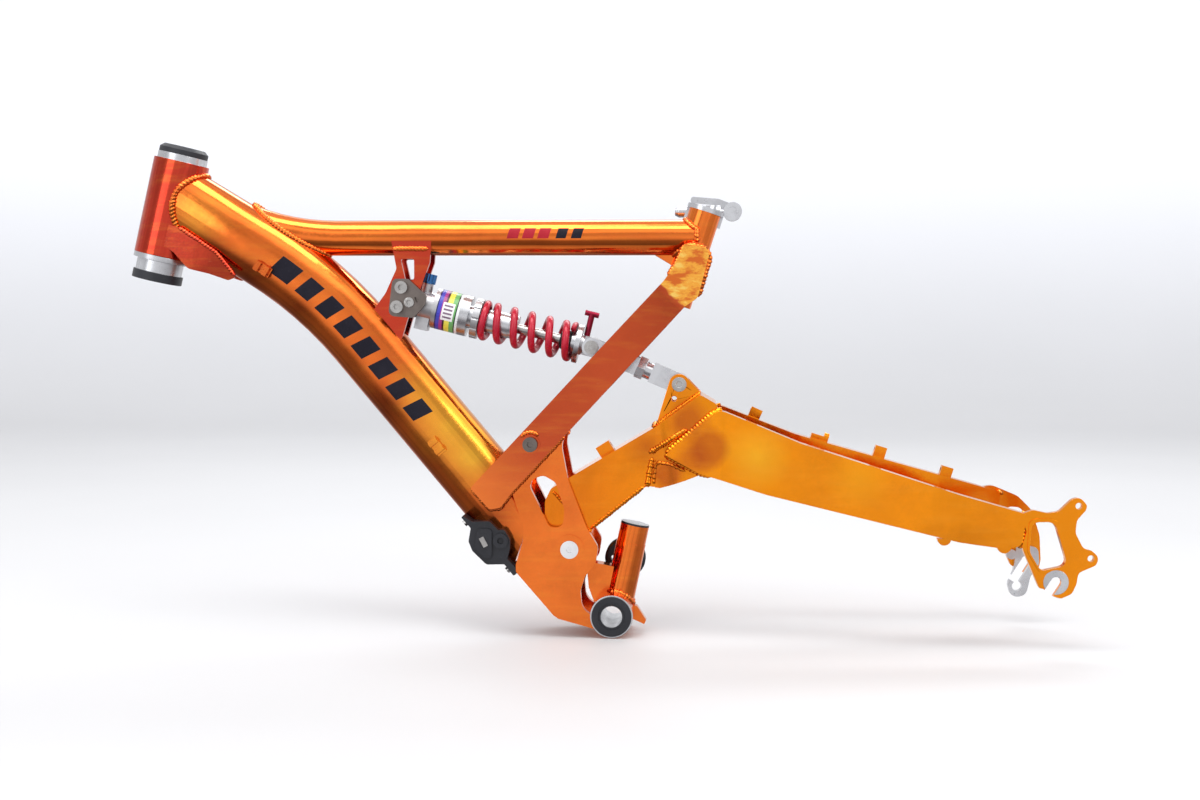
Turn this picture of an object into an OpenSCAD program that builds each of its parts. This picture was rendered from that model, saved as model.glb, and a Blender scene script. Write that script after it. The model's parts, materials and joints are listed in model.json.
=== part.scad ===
// Full-suspension bicycle frame: welded front frame, sprung swingarm, coil shock and extension link.
// Frame of reference: bottom bracket centre at the origin, +X rearward, +Y drive side, +Z up, millimetres.

/* [Head tube] */
// Outer radius of the head tube
ht_r = 27.3; // [26:0.1:30]
// Inner radius of the head tube
ht_ri = 24.8; // [22:0.1:25]
// Length of the head tube
ht_len = 96; // [80:1:130]
// Lean of the head tube axis from vertical, degrees
ht_lean = 13.1; // [5:0.1:30]
// Radius of the steerer bore through the headset
steerer_r = 14.4; // [12.7:0.1:20]

/* [Down tube] */
// Height radius of the down tube
dt_r = 35; // [28:0.5:38]
// Half width of the down tube between its side flats
dt_flat = 28; // [24:0.5:34]
// Wall thickness of the down tube
dt_wall = 2.4; // [1.5:0.1:4]
// Centreline radius of the down tube bend
dt_bend = 400; // [250:10:600]

/* [Top and seat tubes] */
// Outer radius of the top tube
tt_r = 17.5; // [14:0.25:20]
// Wall thickness of the top tube
tt_wall = 2; // [1.2:0.1:3]
// Height of the straight part of the top tube axis
tt_z = 370.5; // [340:0.5:400]
// Outer radius of the seat tube
st_r = 15.9; // [14:0.05:18]
// Radius of the seat post bore
post_r = 13.6; // [12.5:0.05:15.4]
// Length of the seat tube
st_len = 96; // [70:1:160]
// Lean of the seat tube axis from vertical, degrees
st_lean = 18; // [10:0.5:25]

/* [Pivot plates and struts] */
// Inner face of the pivot plates, distance from the mid plane
plate_in = 28; // [24:0.5:32]
// Outer face of the pivot plates
plate_out = 36; // [32:0.5:42]
// Outer face of the seat struts
strut_out = 46; // [40:0.5:52]
// Wall thickness of the seat struts
strut_wall = 2.2; // [1.5:0.1:4]

/* [Bottom bracket] */
// Outer radius of the bottom bracket shell
bb_r = 21; // [19:0.25:24]
// Half width of the bottom bracket shell
bb_half = 36.5; // [34:0.5:41.5]
// Radius of the shell bore
bb_bore = 17.4; // [16:0.1:20]
// Radius of the open passage through the sleeve
bb_pass = 10.5; // [8:0.25:12.5]

/* [Main pivot] */
// Radius of the main pivot axle
axle_r = 8; // [6:0.25:10]
// Outer radius of the main pivot bearings
bearing_r = 13; // [11:0.5:16]
// Outer radius of the swingarm pivot shell
shell_r = 17; // [15:0.5:20]

/* [Swingarm] */
// Half width of the swingarm neck
neck_half = 26.5; // [22:0.5:27.5]
// Wall thickness of the swingarm arms
arm_wall = 2.4; // [1.5:0.1:4]
// Inner face of the dropouts, half the hub spacing
drop_in = 67.5; // [60:0.5:75]
// Dropout plate thickness
drop_t = 7; // [5:0.5:10]
// Rear axle slot radius
slot_r = 5.1; // [4.5:0.1:6.2]

/* [Shock] */
// Coil centreline radius
coil_r = 16.6; // [14:0.1:22]
// Coil wire radius
wire_r = 3.7; // [3:0.1:5]
// Number of coil turns
turns = 6.25; // [5:0.25:9]
// Radius of the damper cylinder
cyl_r = 11.6; // [9:0.1:12]
// Radius of the damper shaft
shaft_r = 5; // [4:0.25:7]

/* [Hidden] */
$fn = 48;
e = 0.01;
ht_top = [-431.5, 446.8];
ht_dir = [sin(ht_lean), cos(ht_lean)];
ht_bot = ht_top - ht_len * ht_dir;
dt_v = [-292.2, 322];
dt_a1 = 31.4;
dt_a2 = 50;
dt_t = dt_bend * tan((dt_a2 - dt_a1) / 2);
dt_end = -86;
st_top = [90.5, 396.1];
st_dir = [sin(st_lean), cos(st_lean)];
piv = [-41, 66];
sh_f = [-200, 306.7];
sh_e = [-21.2, 262.7];
ear_g = [65.3, 226.6];
sh_a = atan2(sh_f[1] - sh_e[1], sh_e[0] - sh_f[0]);
sh_len = norm(sh_e - sh_f);
lk_a = atan2(sh_e[1] - ear_g[1], ear_g[0] - sh_e[0]);
lk_len = norm(ear_g - sh_e);
su = [cos(47.1), sin(47.1)];
sn = [-sin(47.1), cos(47.1)];
axle = [419.4, 44.3];
orange = [0.83, 0.33, 0.08];
redor = [0.72, 0.2, 0.09];
gold = [0.86, 0.55, 0.1];
silver = [0.76, 0.77, 0.79];
black = [0.06, 0.06, 0.07];
grey = [0.45, 0.46, 0.48];

// ---- helpers ----
module xz(y0, y1) { translate([0, y1, 0]) rotate([90, 0, 0]) linear_extrude(y1 - y0) children(); }
module yc(p, y0, y1, r, f = 48) { translate([p[0], y1, p[1]]) rotate([90, 0, 0]) cylinder(h = y1 - y0, r = r, $fn = f); }
module both() { children(); mirror([0, 1, 0]) children(); }
// cylinder along the side-view direction a degrees below +X, from p
module rod(p, a, s0, s1, r, y = 0, f = 48) { translate([p[0], y, p[1]]) rotate([0, a, 0]) translate([s0, 0, 0]) rotate([0, 90, 0]) cylinder(h = s1 - s0, r = r, $fn = f); }
module shock_at() { translate([sh_f[0], 0, sh_f[1]]) rotate([0, sh_a, 0]) children(); }
module link_at() { translate([sh_e[0], 0, sh_e[1]]) rotate([0, lk_a, 0]) children(); }
module strut_at() { translate([-125, 0, 118.8]) rotate([0, -47.1, 0]) children(); }
function arc(c, r, a0, a1, n) = [for (i = [0 : n]) [c[0] + r * cos(a0 + (a1 - a0) * i / n), c[1] + r * sin(a0 + (a1 - a0) * i / n)]];
// corner rounding: each point is [x, z, radius]
function vunit(v) = v / norm(v);
function fillet(a, b, c, r, n) = let (u = vunit([a[0] - b[0], a[1] - b[1]]), w = vunit([c[0] - b[0], c[1] - b[1]]), h = acos(max(-1, min(1, u * w))) / 2, t = r / tan(h), m = vunit(u + w), o = [b[0], b[1]] + m * (r / sin(h)), p = [b[0], b[1]] + u * t, q = [b[0], b[1]] + w * t, s = atan2(p[1] - o[1], p[0] - o[0]), d0 = atan2(q[1] - o[1], q[0] - o[0]) - s, d = d0 > 180 ? d0 - 360 : d0 < -180 ? d0 + 360 : d0) arc(o, r, s, s + d, n);
function rounded(p, n = 5) = [for (i = [0 : len(p) - 1]) let (a = p[(i + len(p) - 1) % len(p)], b = p[i], c = p[(i + 1) % len(p)]) each (b[2] > 0 ? fillet(a, b, c, b[2], n) : [[b[0], b[1]]])];

// ---- tubes as solids, used for shapes and for coping ----
module ht_solid(r = ht_r, x = 0) { translate([ht_bot[0], 0, ht_bot[1]]) rotate([0, ht_lean, 0]) translate([0, 0, -x]) cylinder(h = ht_len + 2 * x, r = r, $fn = 72); }
// swept tube: rings is a list of [x, z, angle below +X, section points [across, up]]
module sweep(rings) {
  m = len(rings[0][3]); k = len(rings) - 1;
  pts = [for (g = rings) for (q = g[3]) [g[0] + sin(g[2]) * q[1], q[0], g[1] + cos(g[2]) * q[1]]];
  side = [for (i = [0 : k - 1]) for (j = [0 : m - 1]) let (a = i * m + j, b = i * m + (j + 1) % m) each [[a, b + m, b], [a, a + m, b + m]]];
  polyhedron(points = pts, faces = concat([[for (j = [0 : m - 1]) j]], side, [[for (j = [m - 1 : -1 : 0]) k * m + j]]));
}
// oval section, a little fuller than an ellipse: half height r, half width w
function spow(x) = sign(x) * pow(abs(x), 0.84);
function dt_sec(r, w, n = 44) = [for (i = [0 : n - 1]) let (a = 360 * (i + 0.5) / n) [w * spow(cos(a)), r * spow(sin(a))]];
dt_c = dt_v - dt_t * [cos(dt_a1), -sin(dt_a1)] - dt_bend * [sin(dt_a1), cos(dt_a1)];
module dt_solid(w = 0) intersection() {
  r = dt_r + w;
  p0 = dt_v - 172.7 * [cos(dt_a1), -sin(dt_a1)];
  p1 = dt_v - 110 * [cos(dt_a1), -sin(dt_a1)];
  p2 = dt_v + (dt_t + 320) * [cos(dt_a2), -sin(dt_a2)];
  sweep(concat([[p0[0], p0[1], dt_a1, dt_sec(r - 0.9, 26 + w)], [p1[0], p1[1], dt_a1, dt_sec(r - 0.5, dt_flat + w)]],
    [for (i = [0 : 6]) let (a = dt_a1 + (dt_a2 - dt_a1) * i / 6) [dt_c[0] + dt_bend * sin(a), dt_c[1] + dt_bend * cos(a), a, dt_sec(r, dt_flat + w)]],
    [[p2[0], p2[1], dt_a2, dt_sec(r, dt_flat + w)]]));
  xz(-60, 60) polygon([[-520, 0], [dt_end - 29 + w, 0], [dt_end - 16 + w, 34], [dt_end + 4 + w, 90], [dt_end + 4 + w, 520], [-520, 520]]);
}
function tt_sec(r, n = 40) = [for (i = [0 : n - 1]) [r * cos(360 * i / n), r * sin(360 * i / n)]];
module tt_solid(r) sweep(concat(
  [for (i = [0 : 6]) let (a = 21 - 21 * i / 6) [-275 - 250 * sin(a) - (i == 0 ? 14 * cos(a) : 0), tt_z + 250 * (1 - cos(a)) + (i == 0 ? 14 * sin(a) : 0), a, tt_sec(r)]],
  [[82, tt_z, 0, tt_sec(r)]]));
module tt_run() { translate([-262, 0, tt_z]) rotate([0, 90, 0]) cylinder(h = 380, r = tt_r, $fn = 40); }
module st_solid(r = st_r, x = 0) { translate([st_top[0], 0, st_top[1]]) rotate([0, st_lean, 0]) translate([0, 0, -st_len - x]) cylinder(h = st_len + 2 * x, r = r, $fn = 60); }

// ---- front frame ----
module head_tube() color(redor) difference() { ht_solid(); ht_solid(ht_ri, 1); }
module down_tube() color(orange) difference() { dt_solid(); dt_solid(-dt_wall); ht_solid(ht_r, 40); }
module top_tube() color(orange) difference() { tt_solid(tt_r); tt_solid(tt_r - tt_wall); dt_solid(); st_solid(st_r, 10); }
module head_gusset() color(redor) difference() {
  xz(-26, 26) polygon(rounded([[-440, 384, 0], [-427, 380.5, 3], [-410, 369, 6], [-390, 355.3, 6], [-371, 331.5, 2], [-379, 328.5, 3], [-398, 335, 12], [-419, 340, 10], [-433, 356, 6], [-448, 366, 0]]));
  dt_solid(); ht_solid(ht_r, 20);
  xz(-23, 23) polygon([[-450, 390], [-360, 330], [-384, 324], [-401, 332], [-416, 344], [-436, 352], [-455, 362]]);
}
module seat_tube() color(orange) { difference() { st_solid(); st_solid(post_r, 1);
  translate([st_top[0], 0, st_top[1]]) rotate([0, st_lean, 0]) { translate([-1.5, 0, -26]) cube([3, 25, 40]); yc([0, -26], 0, 25, 2.6, 24); } }
  difference() { xz(-2.5, 2.5) polygon([[36, 356], [84, 356], [76, 322], [67, 330], [56, 344]]); st_solid(st_r - 0.4, 10); tt_run(); } }
// strut outline in side view: straight box with a rounded lower end and an upper end cut to the seat tube
module strut_side(w = 0) { polygon(rounded([[-137 + w * 0.3, 126.4 - w * 0.6, 3], [-118.2, 105.6 + w * 1.4, 3], [-107.5 - w, 107.6 + w, 6], [-96.4 - w * 0.3, 122.6 + w, 8], [70.6 + w, 302.6, 5], [83 + w * 0.4, 311, 8], [94, 352, 4], [92, 359 - w, 3], [70 + w, 363.5 - w, 3], [60 + w, 341, 20], [50 - w * 0.73, 327.5 + w * 0.68, 20]])); }
module strut_plan(y0, y1, w = 0) { strut_at() translate([0, 0, -60]) linear_extrude(150) polygon([[-30, y0 + w], [196, y0 + w], [262, 11 + w], [330, 11 + w], [330, y1 - 15 - w], [262, y1 - 15 - w], [196, y1 - w], [-30, y1 - w]]); }
module strut_half() difference() {
  intersection() { xz(0, 60) strut_side(); strut_plan(plate_in, strut_out); }
  intersection() { xz(0, 60) strut_side(strut_wall); strut_plan(plate_in, strut_out, strut_wall); strut_at() translate([-5, 0, -60]) cube([255, 60, 150]); }
  st_solid(st_r, 10); tt_run();
}
module seat_strut_left() color(orange) mirror([0, 1, 0]) strut_half();
module seat_strut_right() color(orange) strut_half();
module plate_side() { polygon(rounded([[-45, 185.2, 0], [-48.5, 166, 20], [-42.5, 134, 40], [-24.9, 88.5, 30], [-13, 68.5, 10], [-15.5, 52.5, 8], [-25.9, 39.5, 10], [-30.4, 25.1, 12], [-29, 8, 14], [-18, 0, 0], [-11, -13.9, 0], [-52.4, -2.6, 8], [-57.3, 1.1, 4], [-93.8, 43.2, 3], [-93.8, 50.5, 6], [-84.7, 81, 30], [-98, 124, 0]])); }
module window_side() { polygon(rounded([[-66.5, 138.5, 8], [-54.5, 131.5, 9], [-46, 105, 12], [-47.6, 87, 7], [-61, 87.5, 7], [-69.5, 106, 20], [-80, 127, 7], [-77, 134.5, 6]])); }
module plate_half() difference() {
  union() { xz(plate_in, plate_out) plate_side(); yc(piv, plate_out, plate_out + 1.5, 14.5); }
  xz(plate_in - 1, plate_out + 1) window_side();
  xz(plate_in - 1, strut_out) strut_side();
  yc([0, 0], 20, 40, bb_r, 72);
  yc(piv, 20, 40, axle_r);
}
module pivot_plate_left() color(orange) mirror([0, 1, 0]) plate_half();
module pivot_plate_right() color(orange) plate_half();
module plate_bridge() color(orange) {
  // bottom web between the plates, and the rib up to the stub
  difference() { xz(-plate_in, plate_in) polygon([[-86, 35], [-57.3, 1.6], [-52.4, -1.9], [-11, -13.2], [-11, -7], [-50, 4], [-84, 43], [-86, 43]]); yc([0, 0], -40, 40, bb_r, 72); }
  difference() { xz(-9, 9) polygon(rounded([[-26, 44, 3], [-20, 49, 3], [-8, 47, 2], [6, 44, 0], [6, 10, 0], [-18, 8, 0], [-24, 24, 8]])); yc([0, 0], -40, 40, bb_r, 72); stub_solid(14.7); }
  difference() { xz(-5, 5) polygon([[12, 8], [24, 5], [33, -9], [31, -13], [20, -8], [10, -2]]); yc([0, 0], -40, 40, bb_r, 72); }
}
module bracket_half() difference() {
  xz(12.6, 17.2) polygon(rounded([[-219, 372, 0], [-213, 340, 6], [-224, 316, 20], [-240, 294, 0], [-212, 258, 0], [-203, 288, 12], [-199, 300, 14], [-189.5, 320, 8], [-180, 346, 0], [-178, 372, 0]]));
  tt_run(); dt_solid();
  translate([-300, 0, tt_z]) cube([300, 60, 60]);
  xz(12, 20) polygon(rounded([[-209, 349.5, 2], [-204, 327.5, 3], [-195.5, 329, 3], [-195.5, 349.5, 2]]));
  yc(sh_f, 10, 20, 5, 32);
  for (p = [[-207.3, 321.5], [-211.8, 302.5]]) yc(p, 10, 20, 3, 24);
}
module shock_bracket_left() color(orange) mirror([0, 1, 0]) bracket_half();
module shock_bracket_right() color(orange) bracket_half();
module bb_shell() color(orange) difference() { yc([0, 0], -bb_half, bb_half, bb_r, 72); yc([0, 0], -40, 40, bb_bore, 72); }
module stub_solid(r, a = 0, b = 88) { translate([3.6, 0, 0]) rotate([0, 11.8, 0]) translate([0, 0, a]) cylinder(h = b - a, r = r, $fn = 60); }
module derailleur_stub() color(orange) difference() { union() { stub_solid(14.3); stub_solid(14.7, 0, 70); } stub_solid(12.4, -1, 90); yc([0, 0], -40, 40, bb_r, 72); }
module stub_plug() color(silver) difference() { union() { stub_solid(12.4, 78, 88.4); stub_solid(14.1, 88, 90); } stub_solid(8, 70, 86.4); }
module bb_cups() color(black) both() difference() { union() { yc([0, 0], 24, bb_half + 0.3, bb_bore, 72); yc([0, 0], bb_half + 0.3, bb_half + 1.6, 19.6, 72); } yc([0, 0], 20, 40, 13, 60); }
module bb_sleeve() color(silver) difference() { yc([0, 0], -bb_half - 1, bb_half + 1, 13, 60); yc([0, 0], -40, 40, bb_pass, 60); }
module ht_at(s) { translate([ht_bot[0], 0, ht_bot[1]]) rotate([0, ht_lean, 0]) translate([0, 0, s]) children(); }
module ring(h, r, ri, f = 72) { difference() { cylinder(h = h, r = r, $fn = f); translate([0, 0, -1]) cylinder(h = h + 2, r = ri, $fn = f); } }
module headset_cup_upper() color(silver) ht_at(ht_len) difference() { union() { translate([0, 0, -14]) cylinder(h = 14, r = ht_ri, $fn = 72); cylinder(h = 6.5, r = 24.4, $fn = 72); } translate([0, 0, -20]) cylinder(h = 30, r = steerer_r + 3, $fn = 72); }
module headset_cup_lower() color(silver) ht_at(0) difference() { union() { cylinder(h = 16, r = ht_ri, $fn = 72); translate([0, 0, -5]) cylinder(h = 5, r = 27, $fn = 72); translate([0, 0, -17]) cylinder(h = 12, r = 22.8, $fn = 72); } translate([0, 0, -20]) cylinder(h = 40, r = 19.6, $fn = 72); }
module headset_cap() color(black) ht_at(ht_len) { difference() { union() { translate([0, 0, 6.5]) cylinder(h = 5, r = 24, $fn = 72); translate([0, 0, 11.5]) cylinder(h = 3.4, r1 = 24, r2 = 20, $fn = 72); translate([0, 0, -14]) cylinder(h = 22, r = steerer_r + 3, $fn = 72); } translate([0, 0, -20]) cylinder(h = 50, r = steerer_r, $fn = 72); } }
module crown_race() color(black) ht_at(-25.5) { ring(8.5, 24.6, steerer_r); translate([0, 0, 8.5]) ring(20, 19.6, steerer_r); }
module seat_at(s) { translate([st_top[0], 0, st_top[1]]) rotate([0, st_lean, 0]) translate([0, 0, s]) children(); }
seat_k = [st_top[0] - 1.1, st_top[1] + 0.6];
module seat_collar() color(silver) difference() {
  union() {
    seat_at(-1) cylinder(h = 4.4, r = 18.2, $fn = 60);
    intersection() { seat_at(-12) cylinder(h = 15.4, r = 18.8, $fn = 60); translate([40, 3, 340]) cube([100, 40, 90]); }
    translate([seat_k[0] - 12, 11.5, seat_k[1] - 6]) cube([24, 14, 12]);
  }
  seat_at(-20) cylinder(h = 20, r = st_r, $fn = 60);
  seat_at(-1) cylinder(h = 40, r = post_r + 0.6, $fn = 60);
  translate([seat_k[0] - 1.5, 0, seat_k[1] - 30]) cube([3, 40, 60]);
  translate([seat_k[0] - 20, 21, seat_k[1]]) rotate([0, 90, 0]) cylinder(h = 40, r = 2.6, $fn = 24);
}
module qr_skewer() color(silver) translate([seat_k[0], 21, seat_k[1]]) rotate([0, 90, 0]) {
  translate([0, 0, -14]) cylinder(h = 36.5, r = 2.5, $fn = 24);
  translate([0, 0, -25]) cylinder(h = 13, r = 5.6, $fn = 32);
  translate([0, 0, -29]) cylinder(h = 4, r1 = 3.6, r2 = 5.6, $fn = 32);
  translate([0, 0, 12]) ring(4, 6.4, 2.5, 32);
  translate([0, -2.6, 28]) rotate([-90, 0, 0]) ring(5.2, 5.6, 3.36, 32);
}
qr_c = [seat_k[0] + 28, seat_k[1]];
module qr_lever() color(silver) {
  difference() { union() { yc(qr_c, 12.6, 18.1, 9.2, 40); yc(qr_c, 23.9, 31, 9.2, 40); } yc(qr_c, 10, 14.4, 4.6, 32); }
  yc(qr_c, 18.1, 23.9, 3.3, 32);
  difference() {
    xz(27.2, 31) polygon(rounded([[qr_c[0] - 2, qr_c[1] + 8.8, 0], [qr_c[0] - 14, qr_c[1] + 13.4, 6], [qr_c[0] - 41, qr_c[1] + 15.6, 2.5], [qr_c[0] - 42, qr_c[1] + 9.6, 2.5], [qr_c[0] - 15, qr_c[1] + 6.8, 4], [qr_c[0] - 6, qr_c[1] - 2, 0]]));
    yc(qr_c, 27, 32, 9, 40);
  }
}
module frame_guides() color(orange) difference() {
  union() for (p = [[-343.3, 339.6, 31.4], [-172, 165.8, 50]]) translate([p[0], -dt_flat, p[1]]) rotate([0, p[2], 0]) difference() {
    union() { translate([-9, -3, -5]) cube([18, 7.5, 10]); translate([-7, -7.5, -5]) cube([4.5, 4.5, 10]); translate([2.5, -7.5, -5]) cube([4.5, 4.5, 10]); }
    translate([-12, -5.8, -2.8]) rotate([0, 90, 0]) cylinder(h = 24, r = 1.4, $fn = 16);
    translate([-12, -5.8, 2.8]) rotate([0, 90, 0]) cylinder(h = 24, r = 1.4, $fn = 16);
  }
  dt_solid();
}
guide_b = [[-142.6, 91.4], [-100.5, 45.2]];
module guide_bolt(p) { rod(p, 140, -1.8, 1, 1.7, -20, 24); rod(p, 140, 0, 4.8, 3.2, -20, 32); }
module guide_block() color(black) difference() {
  union() {
    xz(-37, -6) polygon(rounded([[-146, 98.2, 1.2], [-136.5, 92.4, 3], [-119.5, 93.2, 5], [-110.8, 84.2, 2], [-105, 85.2, 4], [-99.3, 75, 5], [-99.6, 66, 4], [-102.2, 56.3, 2], [-94, 47.3, 1.5], [-92.8, 41.6, 1.5], [-96, 39.6, 1], [-105, 50.8, 2], [-122.7, 50.4, 5], [-136.5, 63.8, 5], [-140.2, 73, 4], [-138, 86.2, 2], [-147.2, 96.6, 1]], 4));
    yc([-108.5, 74], -39.5, -30, 7.5, 40);
    xz(-39.5, -30) polygon(rounded([[-131, 86, 4], [-117, 86, 4], [-117, 57, 4], [-124, 57, 4], [-134, 67, 4]], 4));
  }
  dt_solid(); xz(-40, 0) plate_side();
  yc([-108.5, 74], -42, -37, 3.2, 24);
  for (p = guide_b) guide_bolt(p);
}
module frame_bolts() color(silver) {
  both() difference() { union() { yc([-78.2, 169.5], strut_out, strut_out + 1.6, 9.5, 40); yc([-78.2, 169.5], strut_out + 1.6, strut_out + 6, 7.2, 40); } yc([-78.2, 169.5], strut_out + 3, strut_out + 7, 3, 6); }
  for (p = guide_b) guide_bolt(p);
  translate([-125, -40.9, 73]) rotate([0, 62, 0]) translate([-5, 0, -2.4]) cube([10, 1.4, 4.8]);
}
module pivot_axle() color(silver) difference() { yc(piv, -plate_out, plate_out, axle_r); yc(piv, -40, 40, 5); }
module pivot_caps() color(silver) both() difference() { union() { yc(piv, plate_out + 1.5, plate_out + 4, 8.8); yc(piv, 26, plate_out + 1.5, 5); } yc(piv, plate_out + 1, plate_out + 5, 3.4, 6); }
module pivot_bearings() color(grey) both() difference() { yc(piv, 17, 26.5, bearing_r); yc(piv, 16, 28, axle_r + 0.03); }
roll_c = [11, 49];
module roller_bolt() color(grey) difference() { union() { yc(roll_c, 8, 36, 3.5, 32); yc(roll_c, 35, 38, 7, 32); yc(roll_c, 8, 21, 7, 32); } stub_solid(14.7); yc(roll_c, 36, 39, 2.5, 6); }
module chain_roller() color(black) translate([roll_c[0], 28, roll_c[1]]) rotate([90, 0, 0]) difference() {
  rotate_extrude($fn = 60) polygon([[3.55, -6.5], [18, -6.5], [20.5, -5], [20.5, -3.4], [17.5, -1.6], [17.5, 1.6], [20.5, 3.4], [20.5, 5], [18, 6.5], [3.55, 6.5]]);
  for (a = [0 : 60 : 300]) rotate([0, 0, a]) translate([11.5, 0, -8]) cylinder(h = 16, r = 3, $fn = 24);
}

// ---- shock mount and shock ----
cb = [[-207.3, 321.5], [-211.8, 302.5]];
module clamp_plates() color(grey) both() difference() {
  xz(17.2, 21.2) polygon(rounded([[-216.5, 330, 5], [-201, 330, 8], [-182.5, 313, 5], [-184.5, 304, 6], [-196, 291.5, 5], [-221, 293.5, 6]]));
  yc(sh_f, 10, 30, 5, 32);
  for (p = cb) yc(p, 10, 30, 3, 24);
  xz(18, 23) polygon(rounded([[-195.5, 313.4, 0.8], [-189.6, 309.4, 0.8], [-192.6, 305.8, 0.8]], 3));
}
module clamp_bolts() color(silver) both() for (p = cb) difference() { union() { yc(p, 12.7, 21.2, 3, 24); yc(p, 21.2, 26.2, 6.2, 32); } yc(p, 23.2, 27, 3, 6); }
module shock_pin() color(silver) difference() { union() { yc(sh_f, -22.8, 22.8, 5, 32); } both() yc(sh_f, 20.8, 24, 2.4, 6); }
module shock_head() color(grey) shock_at() difference() {
  union() {
    yc([0, 0], -12.2, 12.2, 9.6);
    translate([0, -10, -8]) cube([16, 20, 16]);
    translate([9, 0, 0]) rotate([0, 90, 0]) cylinder(h = 14, r = 14.5);
    translate([8, -9, -24]) cube([13, 18, 20]);
    translate([11, 0, 8]) cylinder(h = 14, r = 5.5, $fn = 32);
    translate([23, 0, 0]) rotate([0, 90, 0]) cylinder(h = 4, r = 20);
  }
  yc([0, 0], -20, 20, 5.04, 32);
  translate([24.5, 0, 0]) rotate([0, 90, 0]) cylinder(h = 4, r = 18);
}
module adjuster_knob() color([0.12, 0.3, 0.75]) shock_at() translate([11, 0, 22.3]) difference() { cylinder(h = 9.5, r = 6.8, $fn = 40); for (a = [0 : 45 : 315]) rotate([0, 0, a]) translate([7.6, 0, 2]) cylinder(h = 9, r = 1.6, $fn = 16); translate([0, 0, 7.5]) cylinder(h = 3, r = 2.2, $fn = 6); }
module shock_cylinder() color(silver) shock_at() rotate([0, 90, 0]) difference() {
  union() { translate([0, 0, 24.5]) cylinder(h = 30, r = 18); translate([0, 0, 27]) cylinder(h = 23.5, r = 20, $fn = 60); translate([0, 0, 50.5]) cylinder(h = 8.5, r = 20.4, $fn = 60); translate([0, 0, 54]) cylinder(h = 54, r = cyl_r); translate([0, 0, 86]) cylinder(h = 14, r = cyl_r + 0.8); }
  translate([0, 0, 26.5]) cylinder(h = 78, r = 9);
  translate([0, 0, 100]) cylinder(h = 12, r = shaft_r + 0.04);
}
module preload_collar() color(grey) shock_at() rotate([0, 90, 0]) { translate([0, 0, 63]) difference() { ring(7, 20.2, cyl_r, 60); for (a = [0 : 30 : 330]) rotate([0, 0, a]) translate([20.6, 0, -1]) cylinder(h = 9, r = 1.5, $fn = 12); } translate([0, 0, 104]) ring(4, cyl_r + 1, cyl_r, 48); }
// helical wire swept as one closed surface
coil_n = 20;
coil_m = 8;
coil_s0 = 70.2 + wire_r;
coil_s1 = 167.4 - wire_r;
module coil_spring() color([0.8, 0.08, 0.1]) shock_at() {
  k = ceil(turns * coil_n);
  lift = function(t) t < 0.08 ? 0 : t > 0.92 ? 1 : (t - 0.08) / 0.84;
  pts = [for (i = [0 : k]) let (a = 360 * turns * i / k + 40, s = coil_s0 + (coil_s1 - coil_s0) * lift(i / k)) for (j = [0 : coil_m - 1]) let (b = 360 * j / coil_m, q = coil_r + wire_r * cos(b)) [s + wire_r * sin(b), q * cos(a), q * sin(a)]];
  side = [for (i = [0 : k - 1]) for (j = [0 : coil_m - 1]) let (a = i * coil_m + j, b = i * coil_m + (j + 1) % coil_m) each [[a, b, b + coil_m], [a, b + coil_m, a + coil_m]]];
  polyhedron(points = pts, faces = concat([[for (j = [coil_m - 1 : -1 : 0]) j]], side, [[for (j = [0 : coil_m - 1]) k * coil_m + j]]));
}
module damper_shaft() color(silver) shock_at() rotate([0, 90, 0]) { translate([0, 0, 70]) cylinder(h = 103, r = shaft_r, $fn = 36); translate([0, 0, 68]) cylinder(h = 8, r = 8.9, $fn = 40); }
module bump_stop() color(black) shock_at() rotate([0, 90, 0]) translate([0, 0, 151.5]) rotate_extrude($fn = 40) polygon([[shaft_r, 0], [7.4, 0], [9.6, 3], [8.6, 5.5], [10.4, 8], [10.4, 11.5], [shaft_r, 11.5]]);
module spring_retainer() color([0.9, 0.9, 0.9]) shock_at() rotate([0, 90, 0]) { translate([0, 0, 167.5]) ring(5, 19.6, shaft_r, 60); translate([0, 0, 163]) ring(4.5, 10.8, shaft_r, 48); }
module shock_eye() color(grey) shock_at() difference() {
  union() { translate([172.5, 0, 0]) rotate([0, 90, 0]) cylinder(h = 2, r = 10.5); translate([174, 0, 0]) rotate([0, 90, 0]) cylinder(h = 6, r = 9); translate([176, -9, -9.5]) cube([10, 18, 19]); yc([sh_len, 0], -9, 9, 9.5); }
  translate([160, 0, 0]) rotate([0, 90, 0]) cylinder(h = 13, r = shaft_r, $fn = 36);
  yc([sh_len, 0], -20, 20, 4, 32);
  translate([176.5, 0, 2.2]) cylinder(h = 9, r = 3.1, $fn = 24);
}
module lockout_knob() color([0.45, 0.05, 0.12]) shock_at() translate([176.5, 0, 2.6]) difference() { union() { cylinder(h = 29, r = 3, $fn = 24); translate([-1.5, 0, 29]) rotate([0, 90, 0]) translate([0, 0, -5.5]) cylinder(h = 14, r = 2.7, $fn = 24); } translate([0, 0, -1]) cylinder(h = 2, r = 1, $fn = 16); }
module link_clevis() color(silver) link_at() difference() {
  union() { both() { yc([0, 0], 9.2, 13, 9.4); translate([0, 9.2, -9]) cube([32, 3.8, 18]); } translate([15, -13, -9]) cube([34, 26, 18]); }
  yc([0, 0], -20, 20, 4, 32);
  translate([30, 0, 0]) rotate([0, 90, 0]) cylinder(h = 40, r = 6, $fn = 40);
}
module eye_bolt() color(silver) link_at() difference() { union() { yc([0, 0], -13, 13, 4, 32); both() yc([0, 0], 13, 16.5, 6.8, 32); } yc([0, 0], -17, -14.5, 2.6, 6); }
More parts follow.
